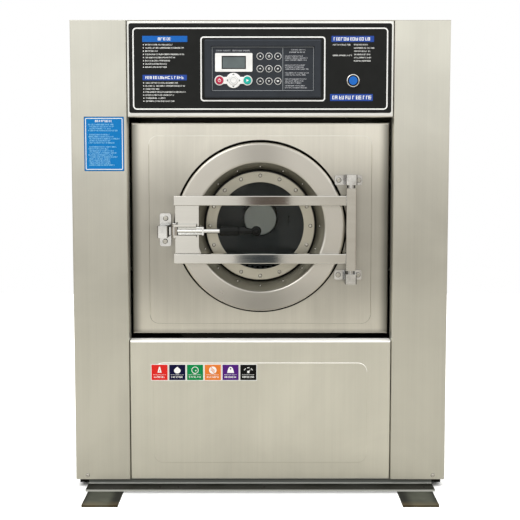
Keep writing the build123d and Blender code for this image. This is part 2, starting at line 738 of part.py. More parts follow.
def drum_pulley():
    y0, y1 = deep(PULLEY_FRONT), deep(PULLEY_FRONT + PULLEY_WIDTH)
    rim = rod_y(DRUM_PULLEY_RADIUS, y0, y1, 0, DRUM_Z)
    for a, b in ((y0 - 1, y0 + 22), (y1 - 22, y1 + 1)):
        rim -= rod_y(DRUM_PULLEY_RADIUS - 22, a, b, 0, DRUM_Z) - rod_y(58, a, b, 0, DRUM_Z)
    for x, z in on_circle(6, 118):
        rim -= rod_y(32, y0 - 1, y1 + 1, x, z)
    rim -= rod_y(SHAFT_RADIUS, y0 - 1, y1 + 1, 0, DRUM_Z)
    return grooved(rim, DRUM_PULLEY_RADIUS, 0, DRUM_Z)


def motor_rotor():
    y0, y1 = deep(PULLEY_FRONT), deep(PULLEY_FRONT + PULLEY_WIDTH)
    wheel = rod_y(MOTOR_PULLEY_RADIUS, y0, y1, MOTOR_X, MOTOR_Z)
    wheel = grooved(wheel, MOTOR_PULLEY_RADIUS, MOTOR_X, MOTOR_Z)
    return wheel + rod_y(14, deep(450), y1 + 8, MOTOR_X, MOTOR_Z)


# ---------------------------------------------------------------- door
FLANGE = 97.0  # depth of the dish's inner flange
RING_FACE = 80.0  # depth of the clamp ring's front face
RIM_BACK = 36.0  # rear edge of the door ring's rim


def door_ring():
    sheet = 3.0
    rim, face = DOOR_RADIUS - sheet / 2, DOOR_FACE + sheet / 2
    seat = FLANGE + sheet / 2
    path = [(rim, RIM_BACK), (rim, face), (DISH_RADIUS, face), (162, seat), (130, seat)]
    dish = turned_sheet(path, sheet, 5)
    for x, z in on_circle(BOLT_COUNT, BOLT_CIRCLE):
        dish -= rod_y(3.2, deep(FLANGE - 1), deep(FLANGE + 4), x, z)
    return dish


def window_clamp_ring():
    ring = turned(
        (WINDOW_RADIUS, RING_FACE),
        (CLAMP_RADIUS, RING_FACE),
        (CLAMP_RADIUS, FLANGE),
        (CLAMP_RADIUS - 4, FLANGE),
        (CLAMP_RADIUS - 4, RING_FACE + 4),
        (WINDOW_RADIUS, RING_FACE + 4),
    )
    ring = fillet(ring.edges().group_by(Axis.Y)[0], 1.2)
    for x, z in on_circle(BOLT_COUNT, BOLT_CIRCLE):
        ring -= rod_y(3.3, deep(RING_FACE - 1), deep(RING_FACE + 5), x, z)
    return ring


def window_glass():
    pane = turned((0, RING_FACE + 6), (136, RING_FACE + 6), (136, FLANGE - 1), (0, FLANGE - 1))
    return chamfer(pane.edges(), 0.8)


def window_seal():
    glass_front = RING_FACE + 6
    return turned(
        (126, RING_FACE + 4),
        (140, RING_FACE + 4),
        (140, FLANGE),
        (131, FLANGE),
        (131, FLANGE - 1),
        (136, FLANGE - 1),
        (136, glass_front),
        (126, glass_front),
    )


def clamp_ring_bolts():
    bolts = []
    for x, z in on_circle(BOLT_COUNT, BOLT_CIRCLE):
        head = rod_y(5.2, deep(RING_FACE - 4), deep(RING_FACE), x, z)
        head = fillet(head.faces().sort_by(Axis.Y)[0].edges(), 2.4)
        bolts.append(head + rod_y(3, deep(RING_FACE), deep(FLANGE + 6), x, z))
    return group(*bolts)


BAR = 27.0
BAR_ZS = (816.7, 654.6)
BAR_LEFT = -240.0
TUBE_ZS = (621.0, 851.0)
TUBE_HALF = 14.0
EAR_THICK = 6.0
PLATE_FRONT = 2.0  # depth of the latch plate's front face


def door_yoke():
    """Welded clamp frame: hinge post, two square tubes, the latch plate and its two ears."""
    back, front = deep(DOOR_FACE), deep(DOOR_FACE - BAR)
    axis_y = deep(HINGE_DEPTH)
    post_x0, post_x1 = HINGE_X - TUBE_HALF, HINGE_X + TUBE_HALF
    post = box(post_x0, post_x1, axis_y - TUBE_HALF, axis_y + TUBE_HALF, *TUBE_ZS)
    post = fillet(post.edges().filter_by(Axis.Z), 2)
    for z0, z1 in ((TUBE_ZS[0] - 1, TUBE_ZS[0] + 30), (TUBE_ZS[1] - 30, TUBE_ZS[1] + 1)):
        post -= rod_z(8.05, z0, z1, HINGE_X, axis_y)
    pieces = [post]
    for z in BAR_ZS:
        bar = box(BAR_LEFT, post_x0, front, back, z - BAR / 2, z + BAR / 2)
        bar = fillet(bar.edges().filter_by(Axis.X), 2)
        hollow = box(BAR_LEFT + 3, post_x0 - 3, front + 3, back - 3, z - BAR / 2 + 3, z + BAR / 2 - 3)
        pieces.append(bar - hollow)
    plate_z0, plate_z1 = BAR_ZS[1] + BAR / 2, BAR_ZS[0] - BAR / 2
    plate = box(-238, -172, deep(PLATE_FRONT), deep(PLATE_FRONT + 6), plate_z0, plate_z1)
    plate -= box(-239, -212, deep(PLATE_FRONT - 1), deep(PLATE_FRONT + 7), LATCH_Z - 17, LATCH_Z + 17)
    pieces.append(plate)
    for z in (LATCH_Z + 12, LATCH_Z - 12 - EAR_THICK):
        ear = box(-247, -178, deep(LATCH_DEPTH - 9), deep(PLATE_FRONT), z, z + EAR_THICK)
        ear = fillet(ear.edges().filter_by(Axis.Z).group_by(Axis.X)[0], 7)
        pieces.append(ear - rod_z(5.05, z - 1, z + EAR_THICK + 1, LATCH_X, deep(LATCH_DEPTH)))
    return group(*pieces)


def hinge_brackets():
    """Two cast brackets with pressed-in pins and thrust collars."""
    plate_back, axis_y = deep(PANEL_FACE), deep(HINGE_DEPTH)
    brackets = []
    for z, up in ((HINGE_PLATE_ZS[0], 1), (HINGE_PLATE_ZS[1], -1)):
        plate = box(210, 287, plate_back - BRACKET_THICK, plate_back, z - 13.5, z + 13.5)
        plate = fillet(plate.edges().filter_by(Axis.Y), 5)
        end = TUBE_ZS[1] if up > 0 else TUBE_ZS[0]
        near, far = end + up * 9.3, end + up * 37.5
        arm = box(HINGE_X - 16, HINGE_X + 16, axis_y - 17, plate_back - 6, near, far)
        arm = fillet(arm.edges().filter_by(Axis.Z) - arm.faces().sort_by(Axis.Y)[-1].edges(), 4)
        collar = rod_z(11.5, near, end + up * 0.3, HINGE_X, axis_y)
        pin = rod_z(8, far - up * 4, end - up * 26, HINGE_X, axis_y)
        shape = plate + arm + collar + pin
        for x in HINGE_BOLT_XS:
            shape -= rod_y(BRACKET_HOLE, plate_back - 8, plate_back + 1, x, z)
        brackets.append(shape)
    return group(*brackets)


def latch_bracket():
    """Keeper: a plate and a block whose front lip holds the latch's tongue."""
    plate_back = deep(PANEL_FACE)
    plate = box(-284, -252, plate_back - BRACKET_THICK, plate_back, 686, 779)
    plate = fillet(plate.edges().filter_by(Axis.Y), 6)
    block = box(-285, -256, deep(LATCH_DEPTH - 16), plate_back - 6, LATCH_Z - 18.5, LATCH_Z + 14.5)
    block = fillet(block.edges().filter_by(Axis.Z).group_by(Axis.Y)[0], 3)
    swing = rod_z(28, LATCH_Z - 20, LATCH_Z + 20, LATCH_X, deep(LATCH_DEPTH))
    lip = box(-300, -200, deep(LATCH_DEPTH - 40), deep(LATCH_DEPTH - 6), LATCH_Z - 30, LATCH_Z + 30)
    keep = plate + (block - (swing - lip))
    for x, z in LATCH_BOLTS:
        keep -= rod_y(BRACKET_HOLE, plate_back - 8, plate_back + 1, x, z)
    return keep


def bracket_bolts():
    """Cross-head bolts through the hinge and latch brackets."""
    bolts = []
    face = deep(PANEL_FACE - BRACKET_THICK)
    for x, z in bracket_bolt_spots():
        head = rod_y(7.2, face - 5, face, x, z)
        head = fillet(head.faces().sort_by(Axis.Y)[0].edges(), 2)
        for half_x, half_z in ((0.9, 4.5), (4.5, 0.9)):
            head -= box(x - half_x, x + half_x, face - 6, face - 3, z - half_z, z + half_z)
        length = 24 if x > 240 or x < 0 else 9.5
        bolts.append(head + rod_y(BRACKET_BOLT_RADIUS, face, face + length, x, z))
    return group(*bolts)


LEVER_END = -157.0
ROD_RADIUS = 6.3
GRIP_START, SLEEVE_END = -113.0, -60.0
NUT_END, GRIP_END = -41.0, -22.0
BALL_X, BALL_RADIUS = -11.0, 14.0


def latch_lever():
    """Forged lever: hub with its tongue, three rods, an end collar and the pivot pin."""
    y = deep(LATCH_DEPTH)
    low, high = LATCH_Z - 11.6, LATCH_Z + 11.6
    lever = rod_z(11, low, high, LATCH_X, y)
    tongue = box(LATCH_X - 16, LATCH_X, y - 5, y + 5, low + 1, high - 1)
    lever += fillet(tongue.edges().filter_by(Axis.Z).group_by(Axis.X)[0], 3)
    lever += rod_x(ROD_RADIUS, LATCH_X, GRIP_START + 29, y, LATCH_Z)
    for z in (LATCH_Z - 8.2, LATCH_Z + 8.2):
        lever += rod_x(3.3, LATCH_X, LEVER_END, y, z)
    lever += box(LEVER_END - 5, LEVER_END, y - 7, y + 7, low, high)
    pin = rod_z(5, LATCH_Z - 20, LATCH_Z + 19, LATCH_X, y)
    head = rod_z(7.5, LATCH_Z + 18.3, LATCH_Z + 22, LATCH_X, y)
    return lever + pin + fillet(head.edges().group_by(Axis.Z)[-1], 1.5)


def latch_grip():
    """Black grip sleeved over the lever's rod: fluted sleeve, hexagonal nut and a ball end with an eye."""
    y, radius = deep(LATCH_DEPTH), 13.2
    path = [
        (GRIP_START, 0),
        (GRIP_START, 11),
        (GRIP_START + 4, radius),
        (SLEEVE_END - 2, radius),
        (SLEEVE_END, 11),
        (SLEEVE_END, 9.5),
        (NUT_END, 9.5),
        (GRIP_END - 6, 7),
        (GRIP_END, 7),
        (GRIP_END, 0),
    ]
    grip = revolve(make_face(Polyline(*path, close=True)), Axis.X)
    for i in range(8):
        flute = rod_x(3.0, GRIP_START + 12, SLEEVE_END - 9, 0, radius + 1.8)
        grip -= Rot(45 * i + 22.5, 0, 0) * flute
    nut = extrude(Plane.YZ.offset(SLEEVE_END + 4) * RegularPolygon(12.6, 6), amount=13)
    ball = Pos(BALL_X, 0, 0) * Sphere(BALL_RADIUS)
    eye = rod_y(8.5, -BALL_RADIUS, -BALL_RADIUS + 3.5, BALL_X, 0) - rod_y(5.0, -BALL_RADIUS, 0, BALL_X, 0)
    grip = Pos(0, y, LATCH_Z) * (grip + nut + ball - eye)
    return grip - rod_x(ROD_RADIUS, GRIP_START - 1, GRIP_START + 29, y, LATCH_Z)


# ---------------------------------------------------------------- assembly
def build():
    part("foot_rails", foot_rails())
    part("main_frame", main_frame())
    part("side_panel_left", side_panel(-1))
    part("side_panel_right", side_panel(1))
    part("top_panel", top_panel())
    part("rear_panel", rear_panel())
    part("control_fascia", control_fascia())
    part("lower_front_panel", lower_front_panel())
    part("control_overlay", control_overlay())
    part("controller_bezel", controller_bezel())
    part("display_surround", display_surround())
    part("lcd_screen", lcd_screen())
    part("start_button_bezel", start_button_bezel())
    part("start_button", start_button())
    part("nav_pad", nav_pad())
    part("stop_key", key_cap(STOP_X, PAD_Z, ROUND_KEY_RADIUS, 4.2, 8))
    part("run_key", key_cap(RUN_X, PAD_Z, ROUND_KEY_RADIUS, 4.2, 8))
    for row, z in enumerate(KEY_ROWS):
        for column, x in enumerate(KEY_COLUMNS):
            part(f"key_{row + 1}_{column + 1}", key_cap(x, z, KEY_RADIUS, 1.8, 7))
    part("inlet_valves", inlet_valves())
    part("cable_gland", cable_gland())
    part("motor_drive", motor_drive())
    part("cabinet_screws", cabinet_screws())
    part("strut_cylinders", strut_cylinders())
    part("strut_rods", strut_rods())
    part("strut_springs", strut_springs())
    part("suspension_frame", suspension_frame())
    part("tub_shell", tub_shell())
    part("tub_front_plate", tub_front_plate())
    part("door_surround_panel", door_surround_panel())
    part("mouth_gasket", mouth_gasket())
    part("bearing_housing", bearing_housing())
    part("shaft_bearings", shaft_bearings())
    part("motor_housing", motor_housing())
    part("drive_belts", drive_belts())
    part("drain_valve", drain_valve())
    part("basket_shell", basket_shell())
    part("basket_lifters", basket_lifters())
    part("hub_cap", hub_cap())
    part("drum_shaft", drum_shaft())
    part("drum_pulley", drum_pulley())
    part("motor_rotor", motor_rotor())
    part("door_ring", door_ring())
    part("window_clamp_ring", window_clamp_ring())
    part("window_glass", window_glass())
    part("window_seal", window_seal())
    part("clamp_ring_bolts", clamp_ring_bolts())
    part("door_yoke", door_yoke())
    part("hinge_brackets", hinge_brackets())
    part("latch_bracket", latch_bracket())
    part("bracket_bolts", bracket_bolts())
    part("latch_lever", latch_lever())
    part("latch_grip", latch_grip())


build()
os.makedirs("parts", exist_ok=True)
for node, shape in PARTS.items():
    export_step(shape, f"parts/{node}.step")
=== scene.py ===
"""Looks of the washer-extractor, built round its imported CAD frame.

Metres, the CAD's own frame: +Z up, the front faces -Y.  Printed graphics are thin solid plates that
ride on the cabinet or on the key they belong to; everything else is a CAD node with a procedural
material, or a finer piece that stands for one.
"""

import math
import random

import bmesh
import bpy
from mathutils import Matrix, Vector


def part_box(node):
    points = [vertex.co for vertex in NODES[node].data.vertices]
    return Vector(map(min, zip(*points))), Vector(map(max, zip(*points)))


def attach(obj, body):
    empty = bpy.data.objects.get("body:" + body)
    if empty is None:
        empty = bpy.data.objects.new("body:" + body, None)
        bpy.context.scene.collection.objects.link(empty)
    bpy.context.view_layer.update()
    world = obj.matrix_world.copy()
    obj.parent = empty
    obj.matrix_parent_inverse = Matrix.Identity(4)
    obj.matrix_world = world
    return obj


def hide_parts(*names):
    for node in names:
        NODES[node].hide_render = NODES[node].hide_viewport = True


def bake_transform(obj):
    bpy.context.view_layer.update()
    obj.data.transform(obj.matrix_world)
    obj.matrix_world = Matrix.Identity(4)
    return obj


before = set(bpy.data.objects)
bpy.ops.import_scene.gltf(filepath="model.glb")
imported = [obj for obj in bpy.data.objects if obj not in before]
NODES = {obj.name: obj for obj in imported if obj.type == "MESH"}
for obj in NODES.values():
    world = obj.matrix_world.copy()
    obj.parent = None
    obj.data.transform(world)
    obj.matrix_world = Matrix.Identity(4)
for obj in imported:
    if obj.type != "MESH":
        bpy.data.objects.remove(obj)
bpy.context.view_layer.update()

MM = 0.001
FULL_TURN = 2 * math.pi

# ---- places taken from the frame
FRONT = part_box("side_panel_left")[0].y
OVERLAY_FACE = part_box("control_overlay")[0].y
KEYPAD_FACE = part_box("lcd_screen")[0].y
SURROUND_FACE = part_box("display_surround")[0].y
basket_low, basket_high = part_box("basket_shell")
DRUM_Z = (basket_low.z + basket_high.z) / 2
DISH_RADIUS = 0.182  # inner edge of the door ring's flat face


def middle(node):
    low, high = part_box(node)
    return (low + high) / 2


def middle_mm(node):
    """X and Z of a node's middle in millimetres, as the flat graphics use them."""
    spot = middle(node)
    return spot.x / MM, spot.z / MM


# ---- material helpers
class Nodes:
    """Short calls that add shader nodes to one node tree."""

    def __init__(self, tree, coords="Object"):
        self.tree, self.link = tree, tree.links.new
        self.coords = self.node("ShaderNodeTexCoord").outputs[coords]

    def node(self, kind, inputs=None, **settings):
        made = self.tree.nodes.new(kind)
        for key, value in settings.items():
            setattr(made, key, value)
        for key, value in (inputs or {}).items():
            socket = made.inputs[key]
            if isinstance(value, bpy.types.NodeSocket):
                self.link(value, socket)
            else:
                socket.default_value = value
        return made

    def math(self, operation, a, b=0.0, c=0.0):
        return self.node("ShaderNodeMath", {0: a, 1: b, 2: c}, operation=operation).outputs[0]

    def split(self, vector):
        return self.node("ShaderNodeSeparateXYZ", {0: vector}).outputs

    def noise(self, scale, detail=2.0, vector=None, distortion=0.0):
        stretch = scale if isinstance(scale, tuple) else (scale, scale, scale)
        mapping = {"Vector": vector or self.coords, "Scale": stretch}
        place = self.node("ShaderNodeMapping", mapping).outputs[0]
        inputs = {"Vector": place, "Scale": 1.0, "Detail": detail, "Distortion": distortion}
        return self.node("ShaderNodeTexNoise", inputs).outputs["Fac"]

    def ramp(self, fac, low, high, at=(0.35, 0.65), kind="LINEAR"):
        """Goes from low to high while fac goes from the first to the second value of at."""
        inputs = {0: fac, 1: at[0], 2: at[1], 3: low, 4: high}
        return self.node("ShaderNodeMapRange", inputs, interpolation_type=kind).outputs[0]

    def soft(self, fac, low, high, at):
        """The same with a soft start and end."""
        return self.ramp(fac, low, high, at, "SMOOTHSTEP")

    def blend(self, fac, a, b, mode="MIX"):
        """Mixes two colours, or multiplies them with mode MULTIPLY."""
        made = self.node("ShaderNodeMix", data_type="RGBA", blend_type=mode)
        for index, value in ((0, fac), (6, a), (7, b)):
            if isinstance(value, bpy.types.NodeSocket):
                self.link(value, made.inputs[index])
            else:
                made.inputs[index].default_value = (*value, 1) if isinstance(value, tuple) else value
        return made.outputs[2]


class Look(Nodes):
    """A material under construction: a Principled shader and calls for its inputs."""

    def __init__(self, name, base, rough, metallic=0.0, **values):
        self.material = bpy.data.materials.new(name)
        self.material.use_nodes = True
        super().__init__(self.material.node_tree)
        self.inputs = self.tree.nodes["Principled BSDF"].inputs
        self.base = base
        self.inputs["Base Color"].default_value = (*base, 1)
        self.inputs["Roughness"].default_value = rough
        self.inputs["Metallic"].default_value = metallic
        for key, value in values.items():
            self.inputs[key.replace("_", " ")].default_value = value

    def polar(self, x=0.0, z=DRUM_Z):
        """Radius and angle round a Y axis through (x, z), as a vector (radius, angle, y)."""
        place = self.split(self.coords)
        dx, dz = self.math("SUBTRACT", place[0], x), self.math("SUBTRACT", place[2], z)
        radius = self.math("SQRT", self.math("MULTIPLY_ADD", dx, dx, self.math("MULTIPLY", dz, dz)))
        angle = self.math("ARCTAN2", dz, dx)
        return self.node("ShaderNodeCombineXYZ", {0: radius, 1: angle, 2: place[1]}).outputs[0]

    def tint(self, fac, dark, light):
        """Colour that goes between dark and light times the base colour."""
        darkest = tuple(c * dark for c in self.base)
        lightest = tuple(min(1.0, c * light) for c in self.base)
        return self.blend(fac, darkest, lightest)

    def colour(self, socket):
        self.link(socket, self.inputs["Base Color"])

    def coloured(self):
        return self.inputs["Base Color"].links[0].from_socket

    def shaded(self, fac):
        """Multiplies the colour so far by a grey factor."""
        grey = self.node("ShaderNodeCombineXYZ", {0: fac, 1: fac, 2: fac}).outputs[0]
        self.colour(self.blend(1.0, self.coloured(), grey, "MULTIPLY"))

    def edged(self, dark, at=(0.05, 0.50)):
        """Painted reflection: darker where the surface turns away, standing in for the dark reflections
        on polished rounded edges.
        """
        facing = self.node("ShaderNodeLayerWeight", {"Blend": 0.5}).outputs["Facing"]
        # painted reflection: the colour darkens towards the turned-away edges
        self.shaded(self.ramp(facing, 1.0, dark, at))
        return self

    def roughness(self, socket):
        self.link(socket, self.inputs["Roughness"])

    def bump(self, height, strength, distance):
        """Adds a bump; a second call rides on the first."""
        inputs = {"Height": height, "Strength": strength, "Distance": distance}
        made = self.node("ShaderNodeBump", inputs)
        normal = self.inputs["Normal"]
        if normal.links:
            self.link(normal.links[0].from_socket, made.inputs["Normal"])
        self.link(made.outputs[0], normal)

    def grain(self, anisotropic, around, turn):
        """Stretches highlights along the circles round one axis, or across them with turn 0.25."""
        self.inputs["Anisotropic"].default_value = anisotropic
        self.inputs["Anisotropic Rotation"].default_value = turn
        made = self.node("ShaderNodeTangent", direction_type="RADIAL", axis=around)
        self.link(made.outputs[0], self.inputs["Tangent"])


UPRIGHT = (0.8, "Z", 0.0)  # vertical grain: highlights spread sideways
LEVEL = (0.5, "X", 0.0)  # grain along X: highlights spread upwards
ACROSS = (0.5, "Y", 0.0)  # grain along Y on a level sheet: highlights spread sideways
TURNED = (0.7, "Y", 0.25)  # turned grain: highlights spread outwards
DISHED = (0.4, "Y", 0.25)  # the same, but less
PLAIN = (0.0, "Z", 0.0)
ALONG_X, ALONG_Y, ALONG_Z = (5.0, 500.0, 500.0), (500.0, 5.0, 500.0), (500.0, 500.0, 5.0)
ROUND = (170.0, 1.3, 170.0)
COARSER, FINE_SHARE = 0.16, 0.45  # noise scale of the coarse strokes, weight of the fine ones
FINE_SKIN, PEEL_SKIN, PEBBLE_SKIN = 0.0002, 0.0004, 0.0006  # heights of bumps


def brushed(name, base, rough, grain, streak=0.02, cloud=0.05, stretch=PLAIN, wave=0.004, scratch=0.03):
    """Brushed sheet: grain is the noise scale along each axis, with a small number along the strokes."""
    look = Look(name, base, rough, 1.0)
    vector = look.polar() if grain is ROUND else look.coords
    fine = look.noise(grain, 2.0, vector)
    coarse = look.noise(tuple(g * COARSER for g in grain), 2.0, vector)
    haze = look.noise(3.4, 4.0, distortion=0.8)
    smudge = look.noise(13.0, 5.0)
    coarse_part = look.math("MULTIPLY", coarse, 1 - FINE_SHARE)
    lines = look.math("MULTIPLY_ADD", fine, FINE_SHARE, coarse_part)
    total = streak + cloud
    mixed = look.math("MULTIPLY_ADD", lines, streak / total, look.math("MULTIPLY", haze, cloud / total))
    look.colour(look.tint(look.ramp(mixed, 0.0, 1.0, (0.36, 0.64)), 1 - total, 1 + total))
    worn = look.math("MULTIPLY_ADD", smudge, 0.10, rough - 0.09)
    look.roughness(look.math("MULTIPLY_ADD", lines, 0.08, worn))
    if wave:
        look.bump(look.noise(2.2, 1.0), 1.0, wave)
    if scratch:
        look.bump(lines, scratch, FINE_SKIN)
    look.grain(*stretch)
    return look


def moulded(name, base, rough, grain=900.0, bump=0.05, specular=0.5):
    """Moulded plastic or rubber with a fine skin and faint handling marks."""
    look = Look(name, base, rough, Specular_IOR_Level=specular)
    marks = look.noise(35.0, 4.0)
    look.colour(look.tint(look.ramp(marks, 0.0, 1.0), 0.92, 1.08))
    look.roughness(look.math("MULTIPLY_ADD", marks, 0.16, rough - 0.08))
    look.bump(look.noise(grain, 2.0), bump, FINE_SKIN)
    return look


def painted(name, base, rough, dust=0.25, chips=0.08, specular=0.5):
    """Structural paint with orange peel, dust and bare specks."""
    look = Look(name, base, rough, Specular_IOR_Level=specular)
    grime = look.noise((9.0, 9.0, 26.0), 5.0)
    dusty = tuple(c * (1 - dust) + 0.20 * dust for c in base)
    layer = look.blend(look.ramp(grime, 0.0, 1.0, (0.42, 0.68)), base, dusty)
    bare = tuple(c * (1 - chips) + 0.45 * chips for c in base)
    look.colour(look.blend(look.ramp(look.noise(160.0, 5.0), 0.0, 1.0, (0.66, 0.70)), layer, bare))
    look.roughness(look.math("MULTIPLY_ADD", grime, 0.3, rough - 0.15))
    look.bump(look.noise(420.0, 2.0), 0.10, PEEL_SKIN)
    return look


# the first is painted shadow, black on the door's dish beside the clamp ring; the second is the dark ring
# round the start button
GAP_BLACK, BLUE_BLACK = (0.006, 0.006, 0.006), (0.006, 0.006, 0.007)


def worn_sill(look):
    """Painted light on the sill: a paler front edge, a pale line along the fold of the angle, and a
    lighter upright wall under the cabinet.
    """
    # painted light: colours that lighten the shaded wall, the fold and the front edge
    upright_steel, fold_steel = (0.085, 0.088, 0.080), (0.26, 0.265, 0.245)
    edge_steel = (0.33, 0.335, 0.31)
    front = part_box("main_frame")[0].y
    wall_face, wall_back, fold_top = FRONT + 0.0030, FRONT + 0.0075, 0.0135
    y, z = look.split(look.coords)[1:3]
    before_back = look.ramp(y, 1.0, 0.0, (wall_back, wall_back + 0.0005))
    on_wall = look.math("MULTIPLY", look.ramp(y, 0.0, 1.0, (wall_face, wall_face + 0.0008)), before_back)
    dull = look.blend(on_wall, look.coloured(), upright_steel)
    past_front = look.soft(y, 0.0, 1.0, (FRONT - 0.009, FRONT - 0.003))
    low_down = look.ramp(z, 1.0, 0.0, (fold_top - 0.0025, fold_top))
    fold = look.math("MULTIPLY", look.math("MULTIPLY", past_front, low_down), before_back)
    pale = look.blend(fold, dull, fold_steel)
    edge = look.ramp(y, 1.0, 0.0, (front + 0.0004, front + 0.0012))
    look.colour(look.blend(edge, pale, edge_steel))
    return look


def scuffed_foot(look):
    """Foot with painted light, paler and mottled along its middle, and with rust towards its end."""
    half_foot, rust_reach = 0.041, 0.045
    worn_paint, rust_colour = (0.085, 0.090, 0.068), (0.10, 0.07, 0.030)
    low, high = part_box("foot_rails")
    x, y = look.split(look.coords)[:2]
    off_middle = look.math("SUBTRACT", look.math("ABSOLUTE", x), high.x - half_foot)
    # painted light: paler along the middle of the foot
    near_middle = look.soft(look.math("ABSOLUTE", off_middle), 1.0, 0.0, (0.022, 0.046))
    worn = look.math("MULTIPLY", near_middle, look.noise(14.0, 3.0))
    pale = look.blend(worn, look.coloured(), worn_paint)
    near_end = look.soft(y, 0.8, 0.0, (low.y, low.y + rust_reach))
    rust = look.math("MULTIPLY", near_end, look.noise(30.0, 4.0))
    look.colour(look.blend(rust, pale, rust_colour))
    return look


def cast(name, base, rough, metallic=1.0, grain=260.0, strength=0.25):
    """Cast metal with a pebbled skin."""
    look = Look(name, base, rough, metallic)
    stain = look.noise(30.0, 4.0)
    look.colour(look.tint(look.ramp(stain, 0.0, 1.0), 0.86, 1.12))
    look.roughness(look.math("MULTIPLY_ADD", stain, 0.22, rough - 0.11))
    look.bump(look.noise(grain, 4.0), strength, PEBBLE_SKIN)
    return look


def printed(name, base):
    """Ink on film: even colour with a faint mottle."""
    rough = 0.36
    look = Look(name, base, rough, Specular_IOR_Level=0.12)
    mottle = look.noise(240.0, 3.0)
    look.colour(look.tint(look.ramp(mottle, 0.0, 1.0), 0.95, 1.05))
    look.roughness(look.math("MULTIPLY_ADD", mottle, 0.1, rough - 0.05))
    return look


def window_pane(name):
    """Toughened glass, darkened by its own thickness and a little haze."""
    look = Look(name, (0.74, 0.77, 0.76), 0.02, IOR=1.2)
    look.inputs["Transmission Weight"].default_value = 1.0
    look.roughness(look.ramp(look.noise(28.0, 5.0), 0.0, 0.05, (0.45, 0.75)))
    return look


def banded(look, node, inner, outer):
    """Paints a dark ring on a round part, between two radii from its middle."""
    fade = 0.0003
    spot = middle(node)
    reach = look.split(look.polar(spot.x, spot.z))[0]
    past_inner = look.ramp(reach, 0.0, 1.0, (inner, inner + fade))
    dark = look.math("MULTIPLY", past_inner, look.ramp(reach, 1.0, 0.0, (outer - fade, outer)))
    look.colour(look.blend(dark, look.coloured(), BLUE_BLACK))
    return look


def column_sheet(name, base):
    """Side columns: the brushed sheet, with painted shade that makes it a little duller low down."""
    look = brushed(name, base, 0.34, ALONG_Z, stretch=UPRIGHT, wave=0.002)
    # painted shade: darker low down
    look.shaded(look.soft(look.split(look.coords)[2], 0.87, 1.0, (0.55, 1.05)))
    return look


def recessed_sheet(name, base):
    """The recessed front sheet with painted light and shade: bright at top and corners, duller beside the
    door, painted shadow at its edges.
    """
    look = brushed(name, base, 0.33, ALONG_Z, 0.03, 0.06, UPRIGHT)
    low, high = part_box("door_surround_panel")
    x, _, z = look.split(look.coords)[:3]
    # painted light and shade: darker beside the door, brighter towards the top and towards the bottom
    beside_door = 0.82
    upper = look.soft(z, 0.0, 0.40, (DRUM_Z + 0.06, high.z - 0.04))
    lower = look.soft(z, 0.18, 0.0, (low.z, DRUM_Z - 0.12))
    look.shaded(look.math("ADD", look.math("ADD", upper, lower), beside_door))
    from_side = look.math("SUBTRACT", high.x, look.math("ABSOLUTE", x))
    from_bottom = look.math("SUBTRACT", z, low.z)
    from_drum = look.split(look.polar())[0]
    # painted shadow along the sides and the bottom edge; painted light towards the corners, away from the
    # door
    look.shaded(look.soft(from_side, 0.30, 1.0, (0.0, 0.030)))
    look.shaded(look.soft(from_bottom, 0.55, 1.0, (0.0, 0.016)))
    look.shaded(look.soft(from_drum, 0.97, 1.08, (0.31, 0.42)))
    return look


def pressed(look, upper, lower):
    """Sheet with a pressed field: its border's slopes are dull, with a painted highlight on those that
    face up and painted shade on those that face down.
    """
    least, most, dull = 0.02, 0.09, 0.8
    slope = look.split(look.node("ShaderNodeTexCoord").outputs["Normal"])[2]
    up, down = look.ramp(slope, 0.0, 1.0, (least, most)), look.ramp(slope, 1.0, 0.0, (-most, -least))
    # painted highlight on slopes that face up, painted shade on slopes that face down
    look.colour(look.blend(down, look.blend(up, look.coloured(), upper), lower))
    dulled = look.math("MULTIPLY_ADD", look.math("ADD", up, down), -dull, 1.0)
    look.link(dulled, look.inputs["Metallic"])
    return look


def door_dish(name, base):
    """Turned ring: bright face with painted shade low down and at the top and bottom of its middle, the
    dish wall painted dark as a painted reflection, and black painted shadow on the step beside the clamp
    ring.
    """
    look = brushed(name, base, 0.30, ROUND, 0.01, 0.04, DISHED, 0.0015, 0.0)
    wall_edge, step_edge = DISH_RADIUS - 0.0015, DISH_RADIUS - 0.0205
    darkest_stain, lightest_stain = (0.15, 0.142, 0.108), (0.24, 0.227, 0.178)
    x, _, z = look.split(look.coords)[:3]
    # painted shade: darker towards the bottom of the ring, and at the top and bottom of its middle
    look.shaded(look.soft(z, 0.70, 1.0, (DRUM_Z - 0.22, DRUM_Z - 0.10)))
    look.shaded(look.soft(look.math("ABSOLUTE", x), 0.80, 1.0, (0.01, 0.11)))
    radius = look.split(look.polar())[0]
    # painted reflection: the dish wall painted dark and mottled, as the dark inside it reflects
    wall = look.blend(look.noise(9.0, 4.0), darkest_stain, lightest_stain)
    # painted shadow: black on the step beside the clamp ring
    step = look.ramp(radius, 1.0, 0.0, (step_edge - 0.0008, step_edge))
    on_wall = look.ramp(radius, 1.0, 0.0, (wall_edge - 0.001, wall_edge))
    look.colour(look.blend(on_wall, look.coloured(), look.blend(step, wall, GAP_BLACK)))
    look.link(look.ramp(on_wall, 1.0, 0.25, (0.0, 1.0)), look.inputs["Metallic"])
    return look


STEEL = (0.715, 0.700, 0.620)

